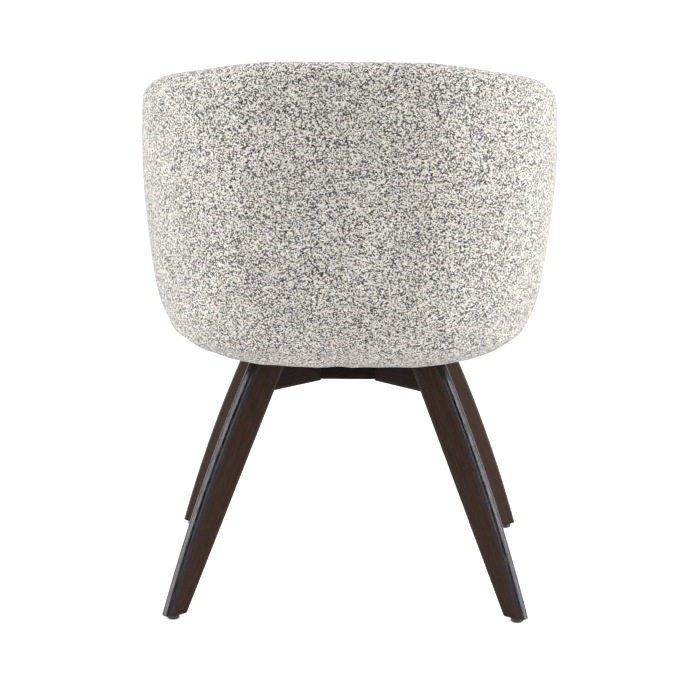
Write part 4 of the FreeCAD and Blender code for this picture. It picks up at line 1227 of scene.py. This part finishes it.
@dataclass
class SeatCushion:
    """The loose-looking seat cushion: crowned, drawn in at its sides, out over the front edge."""

    finishes: dict[Slot, Any]
    bottom: float = 395.6 * MM
    top: float = 487.0 * MM
    foot_rise: float = 30.0 * MM
    edge_level: float = 467.0 * MM
    foot_draw: float = 0.055
    edge_draw: float = 0.09
    front: float = 306.0 * MM
    front_bow: float = 9.0 * MM
    corner: float = 58.0 * MM
    neck: float = 166.5 * MM
    neck_at: float = 205.0 * MM
    turn: float = math.radians(38)
    gap: float = 4.6 * MM
    count: int = 240
    rear_points: int = 200
    side_points: int = 20
    side_pull: float = 0.9
    corner_points: int = 16
    corner_draw: float = 3.0 * MM
    front_points: int = 12
    foot_rings: int = 7
    side_rings: int = 9
    crown_rings: int = 14
    innermost: float = 0.06
    edge_turn: float = math.radians(78)
    seam_drop: float = 10.0 * MM
    seam_width: float = 2.6 * MM
    seam_depth: float = 2.4 * MM
    foot_sag: float = 0.6 * MM
    crease: float = 60.0
    crown_swell: Swell = Swell(0.8 * MM, 110 * MM, 21)
    padding: Padding = Padding(voxel=6.0 * MM, smoothing=4, pressure=4.0, reach=5.0 * MM)

    def outline(self, tub: TubShell) -> np.ndarray:
        """Set out the cushion's widest outline: along the tub's inside, past the arms and round the front.

        Returns:
            (count, 2) evenly spaced points, anticlockwise from the left arm.
        """
        level = tub.platform
        width, thickness = float(tub.width_at(level)), tub.thickness_at(level)
        inset = thickness + self.gap
        centre, radius, angle = PLAN.stations(width, inset, -math.pi - self.turn, self.turn,
                                              self.rear_points)
        rear = centre + (radius - inset)[:, None] * unit_vectors(angle)
        shoulder = self.front - self.front_bow
        start, heading = rear[-1], angle[-1]
        share = np.linspace(0, 1, self.side_points)[1:, None]
        # A quadratic curve that leaves the inside in line and arrives at the neck heading forward
        along = np.array([-math.sin(heading), math.cos(heading)])
        control = start + along * (self.neck - start[0]) / along[0] * self.side_pull
        neck = np.array([self.neck, self.neck_at])
        side = (1 - share) ** 2 * start + 2 * share * (1 - share) * control + share ** 2 * neck
        turn = np.linspace(0, math.pi / 2, self.corner_points)
        middle = np.array([self.neck - self.corner_draw - self.corner, shoulder - self.corner])
        bend = middle + self.corner * unit_vectors(turn)
        across = np.linspace(bend[-1, 0], 0, self.front_points)[1:]
        bow = shoulder + self.front_bow * (1 - (across / bend[-1, 0]) ** 2)
        right = np.concatenate([side, bend, np.stack([across, bow], -1)])
        left = right[-2::-1] * np.array([-1, 1])
        return even_ring(np.concatenate([rear, right, left]), self.count)

    def build(self, tub: TubShell) -> None:
        """Build the cushion, blow it up and draw its seams in.

        The side goes out along a quarter ellipse to the widest ring and in over another to the edge.
        The crown rises by 1 - r^2 to its middle.
        """
        ring = self.outline(tub)
        hub = np.array([0.0, 0.5 * (self.front + ring[:, 1].min())])
        widest = self.bottom + self.foot_rise
        rings = []

        def add(share: float, level: float) -> None:
            """Lay one ring, drawn in to a share of the outline."""
            rings.append(at_level(hub + (ring - hub) * share, level))

        for angle in np.linspace(0, math.pi / 2, self.foot_rings)[:-1]:
            add(1 - self.foot_draw * (1 - math.sin(angle)), widest - self.foot_rise * math.cos(angle))
        last = self.edge_turn
        for angle in np.linspace(0, last, self.side_rings):
            add(1 - self.edge_draw * (1 - math.cos(angle)),
                widest + (self.edge_level - widest) * math.sin(angle))
        edge = 1 - self.edge_draw * (1 - math.cos(last))
        level = widest + (self.edge_level - widest) * math.sin(last)
        for fall in np.linspace(1, self.innermost, self.crown_rings)[1:]:
            add(edge * fall, level + (self.top - level) * (1 - fall ** 2))
        points, faces = closed_stack(rings, hub, self.bottom, self.top)
        cushion = make_piece("seat_cushion_cover", points, faces, Slot.BOUCLE, Body.SEAT, self.finishes)
        self.padding.swell(cushion)
        self.settle(cushion)
        set_smooth(cushion, self.crease)
        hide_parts("seat_cushion")

    def settle(self, cushion: Any) -> None:
        """Draw in a seam round the upper edge and let the crown lie a little uneven.

        Points near the seam's level on the side move in along their normals by the seam's depth times
        a bell curve of the distance, and all points by the crown's swell.
        """
        points = mesh_points(cushion.data)
        normals = mesh_normals(cushion.data)
        seam = self.edge_level - self.seam_drop
        bell = np.exp(-((points[:, 2] - seam) / self.seam_width) ** 2)
        side = np.clip(np.hypot(normals[:, 0], normals[:, 1]) * 1.6 - 0.2, 0, 1)
        shift = self.crown_swell.over(points) - self.seam_depth * bell * side
        moved = points + shift[:, None] * normals
        moved[:, 2] = np.maximum(moved[:, 2], self.bottom - self.foot_sag)
        write_points(cushion.data, moved)


def even_ring(points: np.ndarray, count: int) -> np.ndarray:
    """Space a closed line of points evenly by its length.

    Args:
        points: (n, 2) array.
        count: how many points to set out.

    Returns:
        (count, 2) array.
    """
    closed = np.concatenate([points, points[:1]])
    length = added_up(np.linalg.norm(np.diff(closed, axis=0), axis=1))
    place = np.linspace(0, length[-1], count, endpoint=False)
    return np.stack([np.interp(place, length, closed[:, axis]) for axis in (0, 1)], -1)


@dataclass
class WoodenBase:
    """Four splayed legs, the level arms that carry them and the centre block."""

    finishes: dict[Slot, Any]
    half_thickness: float = 10.0 * MM
    edge_radius: float = 8.0 * MM
    arris: float = 1.2 * MM
    bow_radius: float = 2000.0 * MM
    foot_outer: float = 358.0 * MM
    foot_inner: float = 324.0 * MM
    top_outer: float = 191.0 * MM
    knee: float = 156.0 * MM
    underside: float = 300.0 * MM
    top: float = 344.0 * MM
    foot: float = 6.0 * MM
    hub_width: float = 106.0 * MM
    hub_underside: float = 302.0 * MM
    hub_bore: float = 14.0 * MM
    foot_ease: float = 0.8 * MM
    arm_length: float = 80.0 * MM
    hub_ease: float = 1.0 * MM
    # Where the painted dark reflection on the rounded edge fades out, in degrees of its turn
    round_until: float = 62.0
    round_fade: float = 28.0
    edge_steps: int = 11
    arris_steps: int = 5
    flat_steps: int = 9
    leg_rings: int = 42
    arm_rings: int = 16
    arm_levels: int = 10
    grain_shift: float = 0.37
    arm_grain_shift: float = 1.7
    # How much painted shade the arms and the block take under the seat
    arm_stain: float = 0.5
    hub_painted_shade: float = 0.75
    # Share of the painted dark edge reflection that the small arrises take
    arris_share: float = 0.25
    hub_points: int = 96
    hub_rings: int = 5
    hub_side_from: float = 8.0 * MM
    hub_grain_from: float = 0.3

    @property
    def lean(self) -> float:
        """Give how far the leg's inner edge comes in towards the axis for its rise."""
        return (self.foot_inner - self.knee) / (self.underside - self.foot)

    def inner_at(self, level: np.ndarray) -> np.ndarray:
        """Give the leg's straight inner edge: its distance from the axis at a level."""
        return self.foot_inner - (np.asarray(level) - self.foot) * self.lean

    def outer_at(self, level: np.ndarray) -> np.ndarray:
        """Give the leg's bowed outer edge: an arc of the bow radius over the chord from foot to top."""
        level = np.asarray(level, float)
        chord = np.array([self.top_outer - self.foot_outer, self.top - self.foot])
        length = np.linalg.norm(chord)
        unit = chord / length
        outward = np.array([unit[1], -unit[0]])
        depth = math.sqrt(self.bow_radius ** 2 - (length / 2) ** 2)
        middle = np.array([self.foot_outer, self.foot]) + chord / 2 - outward * depth
        return middle[0] + np.sqrt(self.bow_radius ** 2 - (level - middle[1]) ** 2)

    def leg_section(self, inner: np.ndarray, outer: np.ndarray,
                    slopes: tuple[np.ndarray, np.ndarray]) -> tuple[np.ndarray, ...]:
        """Set out the leg's level cross-section at each station.

        Corners are quarter ellipses. A rounding of radius r on an edge that leans by angle a
        measures r / cos(a) across the level cut.

        Args:
            inner: (n,) distance of the inner edge.
            outer: (n,) distance of the outer edge.
            slopes: 1 / cos of the lean of both edges.

        Returns:
            Reach and breadth (n, m), the run round the section (m,), and the masks of the rounded edge
            and of the sharp arrises (m,).
        """
        turn = np.linspace(0, math.pi / 2, self.edge_steps)
        small = np.linspace(0, math.pi / 2, self.arris_steps)
        half, big, fine = self.half_thickness, self.edge_radius, self.arris
        flats = np.linspace(0, 1, self.flat_steps)[1:-1]
        outer_in = big * slopes[1]
        inner_in = fine * slopes[0]
        reach, breadth, rounded, sharp = [], [], [], []

        def put(distance: np.ndarray, across: float, round_mask: float, sharp_mask: float) -> None:
            """Add one point of the section at every station."""
            reach.append(distance)
            breadth.append(np.full(len(inner), across))
            rounded.append(round_mask)
            sharp.append(sharp_mask)

        # The rounded edge carries the painted dark reflection, and the small arrises a share of it
        for angle in turn:
            put(outer - outer_in * (1 - math.cos(angle)), half - big * (1 - math.sin(angle)),
                1.0 - max(0.0, math.degrees(angle) - self.round_until) / self.round_fade, 0.0)
        for share in flats:
            start, end = outer - outer_in, inner + inner_in
            put(start + (end - start) * share, half, 0.0, 0.0)
        for angle in small:
            put(inner + inner_in * (1 - math.sin(angle)), half - fine * (1 - math.cos(angle)),
                self.arris_share, 1.0)
        first_half = list(zip(reach, breadth, rounded, sharp))
        for distance, across, round_mask, sharp_mask in reversed(first_half):
            put(distance, -across[0], round_mask, sharp_mask)
        reach_array, breadth_array = np.stack(reach, -1), np.stack(breadth, -1)
        middle = len(inner) // 2
        step = np.hypot(np.diff(reach_array[middle]), np.diff(breadth_array[middle]))
        run = added_up(step)
        return reach_array, breadth_array, run, np.array(rounded), np.array(sharp)

    def leg(self, corner: Corner) -> None:
        """Build one leg: its cross-section carried up from foot to top, with eased ends."""
        rise = np.array([0.0, self.foot_ease])
        between = np.linspace(self.foot + 4 * MM, self.top - 1 * MM, self.leg_rings)
        levels = np.concatenate([self.foot + rise, between, [self.top]])
        inner, outer = self.inner_at(levels), self.outer_at(levels)
        ease = np.where(levels < self.foot + 1e-6, self.foot_ease, 0.0)
        steep = np.gradient(outer, levels)
        slopes = (np.full(len(levels), math.hypot(1, self.lean)), np.sqrt(1 + steep ** 2))
        reach, breadth, run, rounded, sharp = self.leg_section(inner + ease, outer - ease, slopes)
        breadth = breadth * (1 - ease / self.half_thickness)[:, None]
        points = np.stack([reach, breadth, np.repeat(levels[:, None], reach.shape[1], 1)], -1)
        self.wooden("leg_" + corner.name.lower(), points, run, (rounded, sharp), levels, corner)

    def arm(self, corner: Corner) -> None:
        """Build one arm: a bar from the block's corner face to the leg's sloping inner face."""
        start = self.hub_width / math.sqrt(2) - self.half_thickness
        half, fine = self.half_thickness, self.arris
        turn = np.linspace(0, math.pi / 2, self.arris_steps)
        low, high = self.underside, self.top
        side = np.linspace(low + fine, high, self.arm_levels)
        section = np.concatenate([
            np.stack([half - fine + fine * np.sin(turn), low + fine - fine * np.cos(turn)], -1),
            np.stack([np.full(len(side) - 1, half), side[1:]], -1)])
        section = np.concatenate([section, section[::-1] * np.array([-1, 1])])
        sharp = np.where(section[:, 1] < low + 1.1 * fine, 1.0, 0.0)
        run = added_up(np.linalg.norm(np.diff(section, axis=0), axis=1))
        share = np.linspace(0, 1, self.arm_rings)[:, None]
        reach = start + (self.inner_at(section[:, 1])[None, :] - start) * share
        points = np.stack([reach, np.broadcast_to(section[:, 0], reach.shape),
                           np.broadcast_to(section[:, 1], reach.shape)], -1)
        self.wooden("arm_" + corner.name.lower(), points, run, (self.arris_share * sharp, sharp),
                    share[:, 0] * self.arm_length, corner)

    def wooden(self, name: str, points: np.ndarray, run: np.ndarray,
               masks: tuple[np.ndarray, np.ndarray], along: np.ndarray, corner: Corner) -> None:
        """Make one wooden piece from its grid, with grain along it, masks of its edges and, on an arm,
        painted shade.

        Args:
            name: the CAD node that the piece stands for.
            points: (stations, ring, 3) grid.
            run: length round the ring of each of its points.
            masks: the mask of the painted dark edge reflection and the sharp arrises' mask round the ring.
            along: length along the piece of each station.
            corner: which of the four it is.
        """
        stations, count = points.shape[:2]
        upward = name.startswith("leg")
        faces = stack_faces(stations, count)
        last = (stations - 1) * count
        ends = [list(range(count))[::-1], list(range(last, last + count))]
        solid = turn_about_axis(points, corner.value).reshape(-1, 3)
        piece = make_piece(name + "_wood", solid, [*faces.tolist(), *ends], Slot.DARK_WOOD, Body.BASE,
                           self.finishes)
        mend_normals(piece)
        uv = np.stack([np.broadcast_to(run, (stations, count)),
                       np.broadcast_to(along[:, None], (stations, count))], -1)
        shift = self.grain_shift * list(Corner).index(corner) + (0.0 if upward else self.arm_grain_shift)
        add_uv(piece.data, uv + shift)
        # Masks of the painted dark edge reflection and of the worn arrises
        add_attribute(piece.data, "arris", np.broadcast_to(masks[0], (stations, count)))
        add_attribute(piece.data, "corner", np.broadcast_to(masks[1], (stations, count)))
        # Painted shade on an arm, none on a leg
        add_attribute(piece.data, "stain", np.full((stations, count), 0.0 if upward else self.arm_stain))
        set_smooth(piece, 40)
        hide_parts(name)

    def hub(self) -> None:
        """Build the centre block: an octagon plan with eased lower edge and a bore, darkened all over with
        painted shade.
        """
        side = self.hub_width / 2
        short = side - self.half_thickness * math.sqrt(2)
        corners = np.array([(side, -short), (side, short), (short, side), (-short, side), (-side, short),
                            (-side, -short), (-short, -side), (short, -side)])
        plan = even_ring(corners, self.hub_points)
        angle = np.arctan2(plan[:, 1], plan[:, 0])
        bore = self.hub_bore * unit_vectors(angle)
        ease = self.hub_ease
        sides = np.linspace(self.hub_underside + self.hub_side_from, self.top, self.hub_rings)
        shrunk = plan * (1 - ease / side)
        rings = [at_level(bore, self.top), at_level(bore, self.hub_underside),
                 at_level(shrunk, self.hub_underside), at_level(plan, self.hub_underside + ease),
                 *[at_level(plan, level) for level in sides], at_level(bore, self.top)]
        count = len(plan)
        piece = make_piece("hub_block_wood", np.concatenate(rings), stack_faces(len(rings), count).tolist(),
                           Slot.DARK_WOOD, Body.BASE, self.finishes)
        merge_doubles(piece)
        mend_normals(piece)
        points = mesh_points(piece.data)
        add_uv(piece.data, np.stack([points[:, 2] + self.hub_grain_from, points[:, 0] + points[:, 1]], -1))
        eased = (points[:, 2] < self.hub_underside + 1.5 * ease) & (np.hypot(*points[:, :2].T) > 20 * MM)
        # The eased lower edge takes a share of the painted dark edge reflection, and wear
        add_attribute(piece.data, "arris", self.arris_share * eased)
        add_attribute(piece.data, "corner", 1.0 * eased)
        # Painted shade all over the block under the seat
        add_attribute(piece.data, "stain", np.full(len(points), self.hub_painted_shade))
        set_smooth(piece, 30)
        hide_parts("hub_block")

    def build(self) -> None:
        """Build every wooden piece of the base."""
        for corner in Corner:
            self.leg(corner)
            self.arm(corner)
        self.hub()


def merge_doubles(piece: Any) -> None:
    """Merge points that lie on each other."""
    weld = piece.modifiers.new("weld", "WELD")
    weld.merge_threshold = 0.01 * MM
    swap_mesh(piece, evaluated_copy(piece))


def mend_normals(piece: Any) -> None:
    """Turn every face of a closed piece outwards."""
    form = bmesh.new()
    form.from_mesh(piece.data)
    bmesh.ops.recalc_face_normals(form, faces=form.faces)
    form.to_mesh(piece.data)
    form.free()


FITTINGS = {
    Slot.BLACK_STEEL: ("swivel_lower_plate", "swivel_upper_plate"),
    Slot.ZINC: ("glide_nails", "plate_screws", "pivot_bolt", "pivot_washer", "pivot_nut", "stop_pin",
                "seat_bolts", "tee_nuts", "deck_screws", "band_screws", "cover_staples"),
    Slot.BRIGHT_STEEL: ("thrust_rollers",),
    Slot.CAGE: ("roller_cage",),
    Slot.NYLON: ("foot_glides",),
    Slot.BEECH: ("hub_dowels", "knee_dowels"),
    Slot.PLYWOOD: ("swivel_board", "seat_deck", "back_band"),
    Slot.LINING: ("dust_cover",),
}


def dress_fittings(finishes: dict[Slot, Any], nodes: dict[str, Any]) -> None:
    """Dress the turntable, fixings and frame pieces, which keep their CAD form."""
    for slot, names in FITTINGS.items():
        for name in names:
            dress(nodes[name], finishes[slot])
            log.info("%s: dressed as %s", name, slot.value)


# Studio

def seen_rays(wiring: Wiring, rays: Any) -> Any:
    """Give 1 for rays that the camera sees directly, mirrored or through glass, and 0 for others."""
    passed_on = wiring.math("MAXIMUM", rays.outputs["Is Glossy Ray"], rays.outputs["Is Transmission Ray"])
    return wiring.math("MAXIMUM", rays.outputs["Is Camera Ray"], passed_on)


@dataclass(frozen=True)
class SoftBox:
    """A rectangular soft lamp: its place and its width and height in metres, and its power in watts."""

    name: str
    place: tuple[float, float, float]
    size: tuple[float, float]
    power: float


SOFT_BOXES = (
    SoftBox("left_soft_box", (-2.6, -0.1, 1.3), (0.8, 2.0), 54),
    SoftBox("right_soft_box", (2.6, -0.1, 1.3), (0.8, 2.0), 68),
    SoftBox("rear_fill", (0.3, -4.6, 2.3), (2.4, 1.6), 46),
    SoftBox("top_soft_box", (0.0, 0.3, 3.0), (2.4, 2.4), 26),
)


@dataclass
class Studio:
    """The pale floor, the white surroundings, the soft lamps and the camera of the photograph."""

    camera_place: tuple[float, float, float] = (48.9 * MM, -4513.2 * MM, 1356.1 * MM)
    pitch: float = 0.2197
    yaw: float = 0.0136
    roll: float = 0.0055
    focal_pixels: float = 3182.0
    image_side: int = 680
    sensor: float = 36.0
    lamp_target: tuple[float, float, float] = (0.0, 0.0, 0.5)
    floor_reach: float = 30.0
    floor_colour: tuple[float, ...] = (0.86, 0.86, 0.86, 1)
    sky: float = 0.66
    floor_glow: float = 0.48
    ceiling: float = 0.05
    ceiling_fade: tuple[float, float] = (0.22, 0.5)
    clip: tuple[float, float] = (0.1, 100.0)

    def camera(self) -> None:
        """Set up the camera from its place, its pitch, yaw and roll, and its focal length in pixels."""
        forward = Vector((-math.sin(self.yaw) * math.cos(self.pitch),
                          math.cos(self.yaw) * math.cos(self.pitch), -math.sin(self.pitch)))
        level = Vector((math.cos(self.yaw), math.sin(self.yaw), 0))
        upright = level.cross(forward)
        right = level * math.cos(self.roll) + upright * math.sin(self.roll)
        up = upright * math.cos(self.roll) - level * math.sin(self.roll)
        data = bpy.data.cameras.new("camera")
        data.sensor_width = self.sensor
        data.lens = self.focal_pixels * self.sensor / self.image_side
        data.clip_start, data.clip_end = self.clip
        camera = add_object("camera", data)
        rotation = Matrix((right, up, -forward)).transposed().to_4x4()
        camera.matrix_world = Matrix.Translation(self.camera_place) @ rotation
        bpy.context.scene.camera = camera

    def world(self) -> None:
        """Make the sky: a soft grey for light, and plain white where it is seen or mirrored.

        In mirrored light the white backdrop fades into a dark studio ceiling overhead.
        """
        world = bpy.data.worlds.new("studio")
        bpy.context.scene.world = world
        wiring = fresh_wiring(world)
        rays = wiring.add("ShaderNodeLightPath")
        seen = seen_rays(wiring, rays)
        way = wiring.add("ShaderNodeSeparateXYZ")
        wiring.feed(way.inputs[0], wiring.add("ShaderNodeTexCoord").outputs["Generated"])
        ceiling = wiring.spread(way.outputs[2], *self.ceiling_fade, 1.0, self.ceiling)
        backdrop = wiring.spread(rays.outputs["Is Camera Ray"], 0.0, 1.0, ceiling, 1.0)
        strength = wiring.spread(seen, 0.0, 1.0, self.sky, backdrop)
        light = wiring.add("ShaderNodeBackground")
        light.inputs["Color"].default_value = (1, 1, 1, 1)
        wiring.feed(light.inputs["Strength"], strength)
        leave = wiring.add("ShaderNodeOutputWorld")
        wiring.feed(leave.inputs["Surface"], light.outputs[0])

    def floor(self) -> None:
        """Lay a wide pale floor that looks white to the camera and still takes the chair's shadow."""
        side = self.floor_reach
        mesh = bpy.data.meshes.new("floor")
        mesh.from_pydata([(-side, -side, 0), (side, -side, 0), (side, side, 0), (-side, side, 0)], [],
                         [(0, 1, 2, 3)])
        floor = add_object("floor", mesh)
        material = bpy.data.materials.new("pale_floor")
        wiring = fresh_wiring(material)
        rays = wiring.add("ShaderNodeLightPath")
        matt = wiring.add("ShaderNodeBsdfDiffuse")
        matt.inputs["Color"].default_value = self.floor_colour
        glow = wiring.add("ShaderNodeEmission")
        seen = seen_rays(wiring, rays)
        wiring.feed(glow.inputs["Strength"], wiring.math("MULTIPLY", seen, self.floor_glow))
        both = wiring.add("ShaderNodeAddShader")
        wiring.feed(both.inputs[0], matt.outputs[0])
        wiring.feed(both.inputs[1], glow.outputs[0])
        leave = wiring.add("ShaderNodeOutputMaterial")
        wiring.feed(leave.inputs["Surface"], both.outputs[0])
        mesh.materials.append(material)

    def lamp(self, box: SoftBox) -> None:
        """Hang one soft box and turn it towards the seat."""
        data = bpy.data.lights.new(box.name, "AREA")
        data.shape = "RECTANGLE"
        data.size, data.size_y = box.size
        data.energy = box.power
        lamp = add_object(box.name, data)
        lamp.location = box.place
        aim = Vector(self.lamp_target) - Vector(box.place)
        lamp.rotation_mode = "QUATERNION"
        lamp.rotation_quaternion = aim.to_track_quat("-Z", "Y")

    def build(self) -> None:
        """Set up the studio."""
        self.camera()
        self.world()
        self.floor()
        for box in SOFT_BOXES:
            self.lamp(box)
        bpy.context.scene.view_settings.view_transform = "Standard"


def main() -> None:
    """Build the chair's looks in order and report each piece."""
    logging.basicConfig(level=logging.INFO, format="%(name)s %(message)s")
    groups = SharedGroups()
    finishes = build_finishes(groups)
    Studio().build()
    dress_fittings(finishes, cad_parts)
    WoodenBase(finishes).build()
    tub = TubShell(finishes)
    tub.build()
    SeatCushion(finishes).build(tub)


if __name__ == "__main__":
    main()
